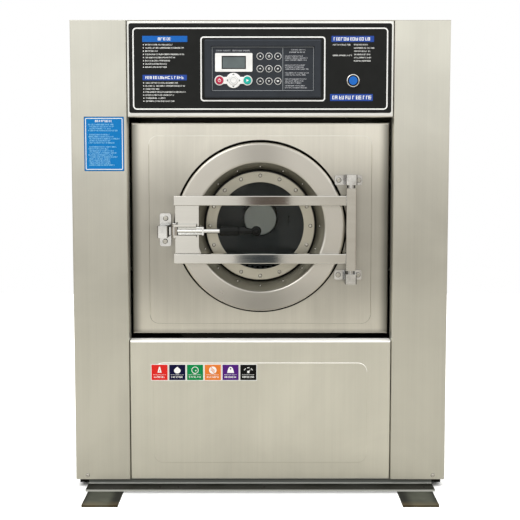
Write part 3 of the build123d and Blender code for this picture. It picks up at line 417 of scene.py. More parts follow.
LOOKS = {
    "cabinet": brushed("brushed_cabinet_steel", STEEL, 0.34, ALONG_Z, stretch=UPRIGHT),
    "column": column_sheet("brushed_column_steel", STEEL),
    # the lid's steel is painted darker than the cabinet's: painted shade against the bright light from
    # above
    "lid": brushed("brushed_lid_steel", (0.60, 0.588, 0.53), 0.34, ALONG_Y, stretch=ACROSS, wave=0.002),
    # the fascia's steel is painted brighter than the cabinet's: painted light
    "fascia": brushed("brushed_fascia_steel", (0.93, 0.925, 0.885), 0.34, ALONG_Z, stretch=UPRIGHT),
    # after each sheet in pressed(): the painted highlight colour, then the painted shade colour
    "surround": pressed(
        recessed_sheet("brushed_surround_steel", (0.70, 0.675, 0.60)),
        (0.95, 0.93, 0.87), (0.38, 0.36, 0.31),
    ),
    "apron": pressed(
        brushed("brushed_apron_steel", STEEL, 0.34, ALONG_Z, stretch=UPRIGHT),
        (1.0, 0.99, 0.96), (0.60, 0.58, 0.51),
    ),
    # edged() adds a painted reflection: darker rounded edges
    "ring_bolt": cast(
        "ring_bolt_zinc", (0.60, 0.58, 0.52), 0.22, grain=500.0, strength=0.08
    ).edged(0.02, (0.02, 0.30)),
    # tub shell and front plate painted near black: painted shade seen through the gaps round the door
    "shade": brushed("tub_steel_painted_shade", (0.030, 0.029, 0.025), 0.55, ROUND, stretch=TURNED),
    # the basket's steel is painted dark: painted shade inside the drum
    "basket": brushed("perforated_basket_steel", (0.14, 0.142, 0.143), 0.30, ROUND, stretch=TURNED),
    "hub": brushed("hub_steel", (0.95, 0.95, 0.89), 0.45, (60.0, 60.0, 60.0), 0.05, 0.05),
    "ring": door_dish("turned_ring_steel", (0.66, 0.63, 0.57)),
    "clamp": brushed(
        "turned_clamp_steel", (0.56, 0.53, 0.44), 0.33, ROUND, 0.02, 0.10, TURNED, scratch=0.01
    ),
    "yoke": brushed(
        "brushed_yoke_steel", (0.71, 0.696, 0.650), 0.085, ALONG_X, 0.02, 0.03, LEVEL, 0.001
    ).edged(0.35, (0.2, 0.8)),
    "casting": cast(
        "polished_casting", (0.74, 0.735, 0.715), 0.15, grain=120.0, strength=0.12
    ).edged(0.06, (0.03, 0.40)),
    "chrome": brushed(
        "polished_lever", (0.84, 0.84, 0.82), 0.08, ALONG_X, 0.02, 0.02, wave=0.0
    ).edged(0.06, (0.15, 0.65)),
    "screw": cast("zinc_screw", (0.62, 0.60, 0.55), 0.24, grain=500.0, strength=0.08).edged(0.08),
    "sill": worn_sill(painted("frame_paint", (0.007, 0.007, 0.005), 0.45, dust=0.06, specular=0.07)),
    "foot": scuffed_foot(painted("foot_paint", (0.004, 0.0045, 0.003), 0.45, dust=0.03, specular=0.06)),
    "overlay": moulded("overlay_film", (0.011, 0.0115, 0.0110), 0.40, 1400.0, 0.03, specular=0.12),
    "controller": moulded("controller_moulding", (0.023, 0.027, 0.034), 0.48, specular=0.22),
    "white": moulded("white_moulding", (0.76, 0.76, 0.75), 0.35, bump=0.02, specular=0.3),
    "key": moulded("key_moulding", (0.022, 0.025, 0.031), 0.38, specular=0.2),
    "red": moulded("stop_key_moulding", (0.40, 0.018, 0.055), 0.28, bump=0.02, specular=0.3),
    "green": moulded("run_key_moulding", (0.01, 0.38, 0.32), 0.28, bump=0.02, specular=0.3),
    "blue": banded(
        moulded("start_cap_moulding", (0.010, 0.120, 0.46), 0.22, bump=0.02, specular=0.2),
        "start_button", 0.0115, 0.02,
    ),
    "bezel": banded(
        brushed("button_bezel_chrome", (0.84, 0.82, 0.78), 0.10, ALONG_X, 0.02, 0.02, wave=0.0),
        "start_button", 0.0, 0.0155,
    ),
    "lcd": moulded("lcd_glass", (0.100, 0.122, 0.125), 0.16, bump=0.01, specular=0.3),
    "rubber": moulded("moulded_rubber", (0.012, 0.012, 0.012), 0.62, 500.0, 0.10, specular=0.25),
    "grip": moulded("phenolic_grip", (0.004, 0.0045, 0.004), 0.13, grain=300.0, bump=0.03, specular=0.20),
    "iron": cast("painted_iron", (0.10, 0.11, 0.12), 0.50, metallic=0.0),
    "motor": cast("motor_enamel", (0.09, 0.15, 0.22), 0.45, metallic=0.0, grain=420.0),
    "nylon": moulded("valve_nylon", (0.62, 0.62, 0.58), 0.48),
    "case": painted("drive_case_paint", (0.20, 0.21, 0.22), 0.5, dust=0.1),
    "spring": cast("spring_wire", (0.10, 0.10, 0.11), 0.38, grain=600.0, strength=0.10),
    "ground": brushed("ground_steel", (0.70, 0.70, 0.70), 0.14, ALONG_Z, 0.02, 0.02, wave=0.0),
    "glass": window_pane("window_glass"),
    "ink_white": printed("white_ink", (0.80, 0.80, 0.79)),
    "ink_grey": printed("grey_ink", (0.34, 0.36, 0.38)),
    "ink_caption": printed("caption_ink", (0.50, 0.51, 0.54)),
    "ink_arrow": printed("arrow_ink", (0.11, 0.13, 0.135)),
    "ink_text": printed("small_text_ink", (0.74, 0.75, 0.74)),
    "ink_blue": printed("banner_ink", (0.010, 0.108, 0.41)),
    "ink_navy": printed("dark_banner_ink", (0.020, 0.060, 0.29)),
    "ink_label": printed("label_ink", (0.004, 0.160, 0.44)),
    "ink_label_text": printed("label_text_ink", (0.22, 0.50, 0.72)),
    "ink_label_edge": printed("label_edge_ink", (0.006, 0.055, 0.16)),
    "ink_red": printed("red_ink", (0.62, 0.018, 0.014)),
    "ink_night": printed("navy_ink", (0.002, 0.002, 0.030)),
    "ink_green": printed("green_ink", (0.002, 0.21, 0.055)),
    "ink_orange": printed("orange_ink", (0.68, 0.18, 0.026)),
    "ink_violet": printed("violet_ink", (0.068, 0.010, 0.165)),
    "ink_black": printed("black_ink", (0.002, 0.002, 0.002)),
}

# nodes of each look; those left out are the nine round keys
LOOK_NODES = {
    "foot": "foot_rails",
    "sill": "main_frame strut_cylinders suspension_frame",
    "column": "side_panel_left side_panel_right",
    "lid": "top_panel",
    "cabinet": "rear_panel",
    "fascia": "control_fascia",
    "apron": "lower_front_panel",
    "surround": "door_surround_panel",
    "overlay": "control_overlay",
    "controller": "controller_bezel",
    "white": "display_surround nav_pad",
    "lcd": "lcd_screen",
    "bezel": "start_button_bezel",
    "blue": "start_button",
    "red": "stop_key",
    "green": "run_key",
    "nylon": "inlet_valves cable_gland drain_valve",
    "case": "motor_drive",
    "screw": "cabinet_screws",
    "ground": "strut_rods shaft_bearings drum_shaft",
    "spring": "strut_springs",
    "shade": "tub_shell tub_front_plate",
    "rubber": "mouth_gasket drive_belts window_seal",
    "iron": "bearing_housing drum_pulley motor_rotor",
    "motor": "motor_housing",
    "basket": "basket_shell basket_lifters",
    "hub": "hub_cap",
    "ring": "door_ring",
    "clamp": "window_clamp_ring",
    "glass": "window_glass",
    "ring_bolt": "clamp_ring_bolts bracket_bolts",
    "yoke": "door_yoke",
    "casting": "hinge_brackets latch_bracket",
    "chrome": "latch_lever",
    "grip": "latch_grip",
}


def paint_nodes():
    """Gives every CAD node its look."""
    node_look = {name: look for look, names in LOOK_NODES.items() for name in names.split()}
    for name, node in NODES.items():
        look = node_look.get(name, "key")
        node.data.materials.clear()
        node.data.materials.append(LOOKS[look].material)
    feet, base = NODES["foot_rails"], NODES["main_frame"]
    feet.visible_diffuse = False
    for low_part in (feet, base):  # as in a cut-out picture: no shadow and no reflection
        low_part.visible_glossy = low_part.visible_shadow = False


# ---- flat graphics
def rectangle(x0, x1, z0, z1):
    return [(x0, z0), (x1, z0), (x1, z1), (x0, z1)]


def rounded(x0, x1, z0, z1, radius, steps=6):
    """Outline of a rounded rectangle."""
    points = []
    corners = ((x1 - radius, z0 + radius, -90), (x1 - radius, z1 - radius, 0))
    corners += ((x0 + radius, z1 - radius, 90), (x0 + radius, z0 + radius, 180))
    for cx, cz, start in corners:
        for i in range(steps + 1):
            a = math.radians(start + 90 * i / steps)
            points.append((cx + radius * math.cos(a), cz + radius * math.sin(a)))
    return points


def circle(x, z, radius, count=40):
    turn = FULL_TURN / count
    return [(x + radius * math.cos(i * turn), z + radius * math.sin(i * turn)) for i in range(count)]


def turned(points, degrees):
    """Points turned round the origin."""
    cos, sin = math.cos(math.radians(degrees)), math.sin(math.radians(degrees))
    return [(x * cos - z * sin, x * sin + z * cos) for x, z in points]


def in_scene(name, data):
    made = bpy.data.objects.new(name, data)
    bpy.context.scene.collection.objects.link(made)
    return made


def new_piece(name, mesh, looks):
    """Turns a bmesh into an object of the scene; looks are the slots that its faces point to."""
    data = bpy.data.meshes.new(name)
    mesh.to_mesh(data)
    mesh.free()
    for look in looks:
        data.materials.append(LOOKS[look].material)
    return in_scene(name, data)


def riding_piece(name, mesh, looks, body):
    """The same for a piece that rides on a body."""
    piece = new_piece(name, mesh, looks)
    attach(piece, body)
    return piece


class Print:
    """Flat marks of one thickness on a plane that faces the front, joined into one mesh."""

    # stroke of a character, gaps after a character and a word, and last start in a line, by its height
    STROKE, LETTER_GAP, WORD_GAP, LAST_START = 0.19, 0.2, 0.45, 0.6

    def __init__(self, name, plane_y, body, slot, thickness=0.00015):
        self.name, self.y, self.body, self.slot = name, plane_y, body, slot
        self.thickness = thickness
        self.mesh = bmesh.new()
        self.looks = []

    def _index(self, look):
        if look not in self.looks:
            self.looks.append(look)
        return self.looks.index(look)

    def fill(self, outline, look, lift=0.0, dx=0.0, dz=0.0):
        """A filled plate; outline points are millimetres in X and Z."""
        back = self.y - lift * self.thickness
        front = back - self.thickness
        ring = [Vector(((x + dx) * MM, 0, (z + dz) * MM)) for x, z in outline]
        rear = [self.mesh.verts.new((p.x, back, p.z)) for p in ring]
        face = [self.mesh.verts.new((p.x, front, p.z)) for p in ring]
        made = [self.mesh.faces.new(face), self.mesh.faces.new(rear[::-1])]
        for i in range(len(ring)):
            j = (i + 1) % len(ring)
            made.append(self.mesh.faces.new((face[j], face[i], rear[i], rear[j])))
        for f in made:
            f.material_index = self._index(look)

    def band(self, outer, inner, look, lift=0.0):
        """A closed band between two outlines with the same number of points."""
        back = self.y - lift * self.thickness
        front = back - self.thickness
        loops = []
        for outline, y in ((outer, front), (inner, front), (inner, back), (outer, back)):
            loops.append([self.mesh.verts.new((x * MM, y, z * MM)) for x, z in outline])
        count = len(outer)
        for k in range(4):
            a, b = loops[k], loops[(k + 1) % 4]
            for i in range(count):
                j = (i + 1) % count
                face = self.mesh.faces.new((a[i], b[i], b[j], a[j]))
                face.material_index = self._index(look)

    def line(self, outline, width, look, radius, lift=0.0):
        """A line of one width just inside a rounded rectangle."""
        x0, x1, z0, z1 = outline
        outer = rounded(x0, x1, z0, z1, radius)
        inner = rounded(x0 + width, x1 - width, z0 + width, z1 - width, max(radius - width, 0.1))
        self.band(outer, inner, look, lift)

    def glyph(self, x, z, width, height, look, rng, lift):
        """One stand-in character: a few upright and level strokes that spell nothing."""
        stroke = height * self.STROKE
        uprights = [x] if rng.random() < 0.6 else [x + (width - stroke) / 2]
        if rng.random() < 0.5 and uprights[0] == x:
            uprights.append(x + width - stroke)
        for left in uprights:
            self.fill(rectangle(left, left + stroke, z, z + height), look, lift)
        right = uprights[1] if len(uprights) > 1 else x + width
        start = uprights[0] + stroke
        for level in rng.sample((0.0, 0.4, 0.81), rng.randint(1, 3)):
            low = z + level * height
            self.fill(rectangle(start, right, low, low + stroke), look, lift)

    def writing(self, x0, x1, z, height, look, seed, lift=0.0, word=(4, 9)):
        """A line of stand-in characters in word groups."""
        rng = random.Random(seed)
        x = x0
        while x < x1 - height * self.LAST_START:
            for _ in range(rng.randint(*word)):
                width = height * rng.uniform(0.62, 0.85)
                if x + width > x1:
                    break
                self.glyph(x, z, width, height, look, rng, lift)
                x += width + height * self.LETTER_GAP
            x += height * self.WORD_GAP

    def done(self):
        bmesh.ops.recalc_face_normals(self.mesh, faces=self.mesh.faces[:])
        riding_piece(self.name, self.mesh, self.looks, self.body)


# borders on the overlay, round the controller and on its keypad: x0, x1, z0, z1 in millimetres
OVERLAY_BORDER = (-352, 352, 1068, 1292)
CONTROLLER_BORDER = (-165, 179.5, 1091, 1268)
KEYPAD_BORDER = (-133, 147, 1120, 1239.5)
KEYPAD_RULE = (61.6, 62.6, 1122, 1238)
KEY_RING = (9.6, 8.3)  # outer and inner radius
BULLET_X, NOTE_X, CAPTION_X = -322, -317, 68
NOTE_HEIGHT, NOTE_WORD, CAPTION_HEIGHT = 3.6, (7, 12), 2.8
BANNERS = (
    # x0, x1, z0, z1, ink, inset of the writing, its height
    (-325.0, -201.0, 1253.0, 1269.5, "ink_blue", 43.0, 7.6),
    (-325.0, -203.0, 1148.5, 1163.5, "ink_navy", 6.0, 7.6),
    (196.0, 313.0, 1253.0, 1269.5, "ink_navy", 4.0, 8.6),
    (193.0, 311.0, 1092.0, 1111.0, "ink_navy", 4.0, 10.0),
)
LEFT_NOTES = (
    # height of the first line, spacing, widths of the lines
    (1245.5, 8.7, (76, 109, 36, 108, 84, 68, 60, 60)),
    (1141.5, 8.35, (90, 112, 40, 112, 80, 58, 82)),
)
RIGHT_NOTES = (258, 1245.5, 8.8, (40, 57, 45, 46, 49, 47))  # left edge, first line, spacing, widths
RIGHT_HEADS = ((200, 1245.5, 48), (200, 1216.5, 54))  # left edge, height, width
KEYPAD_CAPTIONS = (
    # x0, x1, z, height, ink, seed
    (-122, -82, 1227.6, 3.6, "ink_grey", 3),
    (-76, -24, 1227.6, 3.6, "ink_caption", 5),
    (84, 126, 1230, 3.2, "ink_caption", 11),
    (80, 124, 1223.5, 3.0, "ink_caption", 12),
)
KEYPAD_ROWS = (
    1213, 1207.6, 1202.2, 1188.4, 1183, 1177.6, 1167, 1161.6, 1150.4, 1145, 1139.6, 1132, 1126.6,
)


def note(sheet, x, z, width, seed):
    """A line of small stand-in writing, centred on a height."""
    sheet.writing(x, x + width, z - NOTE_HEIGHT / 2, NOTE_HEIGHT, "ink_text", seed, 0, NOTE_WORD)


def overlay_graphics():
    """White borders, blue banners and rows of stand-in writing on the black overlay."""
    sheet = Print("overlay_graphics", OVERLAY_FACE, "cabinet", "overlay_black")
    sheet.line(OVERLAY_BORDER, 3.4, "ink_white", 11)
    sheet.line(CONTROLLER_BORDER, 3.6, "ink_white", 9)
    for number, (a, b, z0, z1, look, inset, tall) in enumerate(BANNERS):
        sheet.fill(rounded(a, b, z0, z1, 1.0, 2), look)
        low = (z0 + z1 - tall) / 2
        sheet.writing(a + inset, b - inset, low, tall, "ink_white", 40 + number, 1, (14, 16))
    for number, (start, step, widths) in enumerate(LEFT_NOTES):
        for i, width in enumerate(widths):
            z = start - i * step
            sheet.fill(circle(BULLET_X, z, 1.5, 10), "ink_white")
            note(sheet, NOTE_X, z, width, 20 * number + i)
    left, start, step, widths = RIGHT_NOTES
    for i, width in enumerate(widths):
        note(sheet, left, start - i * step, width, 60 + i)
    for left, z, width in RIGHT_HEADS:
        note(sheet, left, z, width, int(z))
    sheet.done()


def key_print(name):
    """Marks on a key's face, which ride on the key."""
    return Print(name + "_symbol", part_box(name)[0].y, name, "white_plastic")


def nav_arrows():
    """Four small arrow heads round the navigation pad, and a ring on the pad."""
    low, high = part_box("nav_pad")
    x, z = middle_mm("nav_pad")
    reach = (high.x - low.x) / 2 / MM + 4.2
    head = [(reach + 2.6, 0), (reach - 1.2, 3.6), (reach - 1.2, -3.6)]
    sheet = Print("nav_arrows", SURROUND_FACE, "cabinet", "white_plastic")
    for quarter in range(4):
        sheet.fill(turned(head, 90 * quarter), "ink_arrow", 0, x, z)
    sheet.done()
    cap = key_print("nav_pad")
    cap.band(circle(x, z, 8.6, 32), circle(x, z, 7.6, 32), "ink_grey")
    cap.done()


def keypad_graphics():
    """Border, display border, key rings and captions on the controller's face."""
    sheet = Print("keypad_graphics", KEYPAD_FACE, "cabinet", "controller_plastic")
    sheet.line(KEYPAD_BORDER, 1.0, "ink_grey", 1.5)
    sheet.fill(rectangle(*KEYPAD_RULE), "ink_grey")
    for x0, x1, z, height, ink, seed in KEYPAD_CAPTIONS:
        sheet.writing(x0, x1, z, height, ink, seed)
    low, high = (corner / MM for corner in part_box("lcd_screen"))
    display = (low.x + 1.2, high.x - 1.2, low.z + 1.0, high.z - 1.0)
    sheet.line(display, 3.4, "ink_black", 0.5)
    for name in NODES:
        if name.startswith("key_"):
            x, z = middle_mm(name)
            outer, inner = (circle(x, z, radius) for radius in KEY_RING)
            sheet.band(outer, inner, "ink_white")
    rng = random.Random(21)
    for i, z in enumerate(KEYPAD_ROWS):
        end = CAPTION_X + rng.uniform(46, 72)
        sheet.writing(CAPTION_X, end, z, CAPTION_HEIGHT, "ink_caption", 80 + i)
    sheet.done()


def key_mark(sheet, number, x, z):
    """A small generic symbol for each key, drawn in millimetres from the key's middle."""
    arrows = {0: 180, 2: 90, 7: -90}

    def mark(outline, layer=0):
        sheet.fill(outline, "ink_white", layer, x, z)

    if number in arrows:
        mark(turned([(2.6, 0), (-1.9, 2.5), (-1.9, -2.5)], arrows[number]))
    elif number in (1, 4):
        sheet.band(circle(x, z - 0.4, 2.9, 16), circle(x, z - 0.4, 1.9, 16), "ink_white")
        mark(rectangle(-0.5, 0.5, 0.6, 4.0), 1)
    elif number in (3, 6):
        mark(rectangle(-3, 1.2, -0.7, 0.7))
        mark([(3.2, 0), (0.8, 2.2), (0.8, -2.2)])
    elif number == 5:
        mark(rectangle(-3, 3, -0.7, 0.7))
        mark(rectangle(-0.7, 0.7, -3, 3), 1)
    else:
        mark(circle(-1.7, 0.6, 1.7, 14))
        mark(circle(1.7, 0.6, 1.7, 14), 1)
        mark([(-2.6, 0.2), (2.6, 0.2), (0, -3.0)], 2)


def key_marks():
    """A symbol on each of the nine round keys and on the stop and run keys."""
    names = [f"key_{row}_{column}" for row in (1, 2, 3) for column in (1, 2, 3)]
    for number, name in enumerate(names):
        sheet = key_print(name)
        key_mark(sheet, number, *middle_mm(name))
        sheet.done()
    for name in ("stop_key", "run_key"):
        x, z = middle_mm(name)
        sheet = key_print(name)
        if name == "stop_key":
            sheet.band(circle(x, z, 4.2, 24), circle(x, z, 3.2, 24), "ink_white")
            sheet.fill(rectangle(x - 0.5, x + 0.5, z, z + 5.2), "ink_white", 1)
        else:
            sheet.fill([(x - 2.6, z - 3.6), (x + 3.8, z), (x - 2.6, z + 3.6)], "ink_white")
        sheet.done()


def dish_rivets():
    """Small domed rivet heads round the wall of the door's dish."""
    mesh = bmesh.new()
    depth, radius, count, head, flat = 0.050, 0.1694, 16, 0.0040, 0.75
    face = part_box("door_ring")[0].y
    for i in range(count):
        angle = math.pi / 2 + FULL_TURN * i / count
        spot = Vector((radius * math.cos(angle), face + depth, DRUM_Z + radius * math.sin(angle)))
        inward = Vector((-math.cos(angle), 0, -math.sin(angle)))
        turn = inward.to_track_quat("Z", "Y").to_matrix().to_4x4()
        shape = Matrix.Translation(spot) @ turn @ Matrix.Diagonal((1.0, 1.0, flat, 1.0))
        bmesh.ops.create_uvsphere(mesh, u_segments=16, v_segments=8, radius=head, matrix=shape)
    for face in mesh.faces:
        face.smooth = True
    riding_piece("dish_rivets", mesh, ["screw"], "door")


def punched(mesh, place, around, rows, hole):
    """
    Sheet that closes round the axis, with an eight-sided hole in each cell.  place(turn, row, face)
    gives a point from fractions of a turn and of the rows, on face 0 or 1; hole(row) gives the
    hole's half width and half height in cells.
    """
    corners = ((1, 0.5), (1, 1), (0.5, 1), (0, 1), (0, 0.5), (0, 0), (0.5, 0), (1, 0))
    made = {}

    def vert(u, v, face):
        key = (round(u % around, 4), round(v, 4), face)
        if key not in made:
            made[key] = mesh.verts.new(place(u / around, v / rows, face))
        return made[key]

    for i in range(around):
        for j in range(rows):
            wide, tall = hole((j + 0.5) / rows)
            cell = [(i + a, j + b) for a, b in corners]
            turns = [math.pi / 4 * k for k in range(8)]
            edge = [(i + 0.5 + wide * math.cos(a), j + 0.5 + tall * math.sin(a)) for a in turns]
            for k in range(8):
                m = (k + 1) % 8
                for face in (0, 1):
                    mesh.faces.new([vert(*p, face) for p in (cell[k], cell[m], edge[m], edge[k])])
                inside = (vert(*edge[k], 0), vert(*edge[m], 0), vert(*edge[m], 1), vert(*edge[k], 1))
                mesh.faces.new(inside)
        for v in (0, rows):
            for u in (i, i + 0.5):
                ends = (vert(u, v, 0), vert(u + 0.5, v, 0), vert(u + 0.5, v, 1), vert(u, v, 1))
                mesh.faces.new(ends)


def lathe(mesh, outline, steps=96):
    """Closed ring turned round the drum axis from (radius, y) points."""
    loops = []
    for i in range(steps):
        a = FULL_TURN * i / steps
        loops.append([mesh.verts.new((r * math.cos(a), y, DRUM_Z + r * math.sin(a))) for r, y in outline])
    for i in range(steps):
        here, beyond = loops[i], loops[(i + 1) % steps]
        for k in range(len(outline)):
            m = (k + 1) % len(outline)
            mesh.faces.new((here[k], here[m], beyond[m], beyond[k]))


def tube(mesh, path, radius, sides=10):
    """Round wire along a list of points, closed at both ends."""
    rings = []
    for i, point in enumerate(path):
        ahead = path[min(i + 1, len(path) - 1)] - path[max(i - 1, 0)]
        across = ahead.cross(Vector((0, 0, 1))).normalized()
        upward = across.cross(ahead).normalized()
        turns = [FULL_TURN * k / sides for k in range(sides)]
        spots = [point + radius * (math.cos(a) * across + math.sin(a) * upward) for a in turns]
        rings.append([mesh.verts.new(spot) for spot in spots])
    for here, beyond in zip(rings, rings[1:]):
        for k in range(sides):
            m = (k + 1) % sides
            mesh.faces.new((here[k], here[m], beyond[m], beyond[k])).smooth = True
    mesh.faces.new(rings[0])
    mesh.faces.new(rings[-1][::-1])


def coil_springs():
    """The four strut springs, with closed end coils, stretched between the cabinet and the tub."""
    low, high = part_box("strut_springs")
    wire, outer, turns, steps = 0.004, 0.037, 6, 26
    closed = 0.06  # share of the coils that lies flat at each end
    reach, rise = outer - wire, high.z - low.z - 2 * wire
    mesh = bmesh.new()
    for x in (low.x + outer, high.x - outer):
        for y in (low.y + outer, high.y - outer):
            path = []
            for i in range(turns * steps + 1):
                share = i / (turns * steps)
                climb = min(1.0, max(0.0, (share - closed) / (1 - 2 * closed)))
                a = FULL_TURN * turns * share
                z = low.z + wire + rise * climb
                path.append(Vector((x + reach * math.cos(a), y + reach * math.sin(a), z)))
            tube(mesh, path, wire)
    bmesh.ops.recalc_face_normals(mesh, faces=mesh.faces[:])
    piece = new_piece("coil_springs", mesh, ["spring"])
    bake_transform(piece)
    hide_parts("strut_springs")


def weld_line(mesh, start, end, radius=0.0015):
    """Rippled weld bead: overlapping round beads along a line."""
    pitch = 0.0021
    start, end = Vector(start), Vector(end)
    count = max(2, round((end - start).length / pitch))
    for i in range(count + 1):
        spot = Matrix.Translation(start.lerp(end, i / count))
        bmesh.ops.create_uvsphere(mesh, u_segments=10, v_segments=6, radius=radius, matrix=spot)


def yoke_welds():
    """Beads where the two bars meet the hinge post and the latch plate."""
    bar, bar_heights, post, inset = 0.027, (0.8167, 0.6546), 0.028, 0.003
    post_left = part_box("door_yoke")[1].x - post
    front, back = FRONT - 0.017, FRONT + 0.010
    plate_left, plate_right, plate_front = -0.2355, -0.1745, FRONT + 0.002
    mesh = bmesh.new()
    for z in bar_heights:
        low, high = z - bar / 2, z + bar / 2
        for edge in (low, high):
            weld_line(mesh, (post_left, front + inset, edge), (post_left, back - inset, edge))
        weld_line(mesh, (post_left, front, low + inset), (post_left, front, high - inset))
    for edge in (min(bar_heights) + bar / 2, max(bar_heights) - bar / 2):
        weld_line(mesh, (plate_left, plate_front, edge), (plate_right, plate_front, edge), 0.0013)
    for face in mesh.faces:
        face.smooth = True
    riding_piece("yoke_welds", mesh, ["screw"], "door")


def perforated_basket():
    """The basket with its drain holes: punched rim and back, rolled front with a lipped mouth."""
    radius, front, back = basket_high.x, basket_low.y, basket_high.y
    mouth, shaft, wall, back_wall, lip, hole = 0.192, 0.030, 0.0025, 0.004, 0.014, 0.0042
    around, rows, back_around, back_rows = 72, 14, 60, 8
    blank = 0.150  # radius of the plain middle of the back
    punched_width = radius - wall - blank
    mesh = bmesh.new()

    def rim(turn, row, face):
        a, r = FULL_TURN * turn, radius - wall * face
        return r * math.cos(a), front + wall + (back - front - 2 * wall) * row, DRUM_Z + r * math.sin(a)

    def disc(turn, row, face):
        a, r = FULL_TURN * turn, blank + punched_width * row
        return r * math.cos(a), back - back_wall * face, DRUM_Z + r * math.sin(a)

    def disc_hole(row):
        r = blank + punched_width * row
        return hole * back_around / (FULL_TURN * r), hole * back_rows / punched_width

    rim_hole = (hole * around / (FULL_TURN * radius), hole * rows / (back - front))
    punched(mesh, rim, around, rows, lambda row: rim_hole)
    punched(mesh, disc, back_around, back_rows, disc_hole)
    inside = back - back_wall
    lathe(mesh, ((shaft, back), (blank, back), (blank, inside), (shaft, inside)))
    face = front + wall
    mouth_path = ((mouth, front), (radius, front), (radius, face), (mouth + wall, face))
    lathe(mesh, mouth_path + ((mouth + wall, front + lip), (mouth, front + lip)))
    bmesh.ops.recalc_face_normals(mesh, faces=mesh.faces[:])
    piece = riding_piece("perforated_basket", mesh, ["basket"], "basket")
    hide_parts("basket_shell")


def column_label():
    """Blue notice on the left column, with ruled stand-in writing."""
    x0, x1, z0, z1 = -489.0, -378.0, 898.5, 1049.0
    sheet = Print("column_label", FRONT, "cabinet", "button_blue", 0.0002)
    sheet.fill(rounded(x0, x1, z0, z1, 2.0, 3), "ink_label_edge")
    sheet.fill(rounded(x0 + 1.2, x1 - 1.2, z0 + 1.2, z1 - 1.2, 2.0, 3), "ink_label", 1)
    sheet.line((x0 + 4, x1 - 4, z0 + 4, z1 - 4), 1.8, "ink_white", 3.5, 2)
    sheet.writing(x0 + 31, x1 - 33, z1 - 15, 5.6, "ink_white", 2, 2, (9, 12))
    rng = random.Random(9)
    first, last, spacing, empty_rows = z1 - 23.5, z0 + 10, 5.6, (4, 10)
    z, row = first, 0
    while z > last:
        if row not in empty_rows:
            left = x0 + 12 + (2.5 if row % 3 else 0)
            right = left + rng.uniform(56, 88)
            sheet.writing(left, right, z, 3.7, "ink_label_text", row + 50, 2, (10, 20))
        z -= spacing
        row += 1
    sheet.done()


def pictogram(sheet, number, x, z):
    """White symbol of a sticker, in millimetres from its middle; details lie one layer higher."""

    def mark(outline, look="ink_white", layer=2):
        sheet.fill(outline, look, layer, x, z)

    if number == 0:
        mark([(-6, -7), (6, -7), (3.2, 3), (1.6, 9.5), (-1.6, 9.5), (-3.2, 3)])
        mark([(-1.6, -4), (1.6, -4), (0, 2.5)], "ink_red", 3)
    elif number == 1:
        drop = [(0, 10)]
        for i in range(15):
            a = math.radians(35 - i * 250 / 14)
            drop.append((9.5 * math.cos(a), -1.5 + 8 * math.sin(a)))
        mark(drop[::-1])
    elif number == 2:
        sheet.band(circle(x, z, 10), circle(x, z, 8.4), "ink_white", 2)
        mark(rectangle(-1.2, 1.2, -12, -9), layer=3)
        mark(circle(2, -1.5, 1.7, 14))
    elif number == 3:
        mark(circle(0, 0, 10.5))
        for shift in (-4.6, 0.0, 4.6):
            stripe = [(-6.8, 5.2 + shift), (-5.6, 6.4 + shift), (6.4, -5.4 + shift), (5.2, -6.6 + shift)]
            mark([(px * 0.9, pz * 0.9) for px, pz in stripe][::-1], "ink_orange", 3)
    elif number == 4:
        mark([(-10, -8), (10, -8), (6.5, 5), (2.5, 9.5), (-2.5, 9.5), (-6.5, 5)])
        mark(circle(0, 4, 2.3, 16), "ink_violet", 3)
    else:
        for start, end in ((25, 55), (75, 105), (125, 155)):
            outer, inner = [], []
            for i in range(7):
                a = math.radians(start + (end - start) * i / 6)
                outer.append((14 * math.cos(a), -6 + 14 * math.sin(a)))
                inner.append((12 * math.cos(a), -6 + 12 * math.sin(a)))
            mark(outer + inner[::-1])
        mark(circle(0, -5, 3.6, 20))
        mark([(-1, -4), (6.4, 2.4), (1.5, -6)], layer=3)


def panel_stickers():
    """Six square stickers in a row on the lower panel's raised field."""
    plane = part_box("lower_front_panel")[0].y
    sheet = Print("function_stickers", plane, "cabinet", "overlay_black", 0.0002)
    looks = ("ink_red", "ink_night", "ink_green", "ink_orange", "ink_violet", "ink_black")
    first_x, spacing, z0, z1, half, edge = -284.8, 50.2, 309.0, 353.0, 22.8, 1.6
    for i, look in enumerate(looks):
        x = first_x + i * spacing
        sheet.fill(rounded(x - half - edge, x + half + edge, z0 - edge, z1 + edge, 1.2, 2), "ink_white")
        sheet.fill(rounded(x - half, x + half, z0, z1, 0.8, 2), look, 1)
        pictogram(sheet, i, x, z0 + 28.5)
        sheet.writing(x - 18, x + 18, z0 + 14.5, 1.8, "ink_text", i + 5, 2)
        sheet.writing(x - 17, x + 17, z0 + 6.5, 4.6, "ink_white", i + 31, 2, (8, 10))
    sheet.done()


# ---- stage, light and camera
CAMERA_DISTANCE, CAMERA_HEIGHT, CAMERA_TILT = 3.2205, 0.9554, 0.0945
CAMERA_X, CAMERA_LENS, CAMERA_SENSOR = -0.0008, 79.92, 36.0
CARD_DISTANCE = CAMERA_DISTANCE + 0.05
FLOOR_SEEN, WHITE = (0.97, 0.97, 0.965), (1.0, 1.0, 1.0)
FLOOR_TONES = ((0.345, 0.335, 0.30), (0.385, 0.37, 0.335))  # in reflections
DARK_CARDS = (
    # name, colour, width, lowest and highest point, middle
    ("upper_card", (0.11, 0.088, 0.076), 0.25, 0.52, 1.30, 0.045),
    ("lower_card", (0.035, 0.044, 0.052), 0.25, 0.02, 0.52, -0.01),
)


def stage_plane(name, size, location, rotation, look):
    bpy.ops.mesh.primitive_plane_add(size=1, location=location, rotation=rotation)
    plane = bpy.context.object
    plane.name = name
    plane.scale = (size[0], size[1], 1)
    plane.data.materials.append(look.material)
    return plane


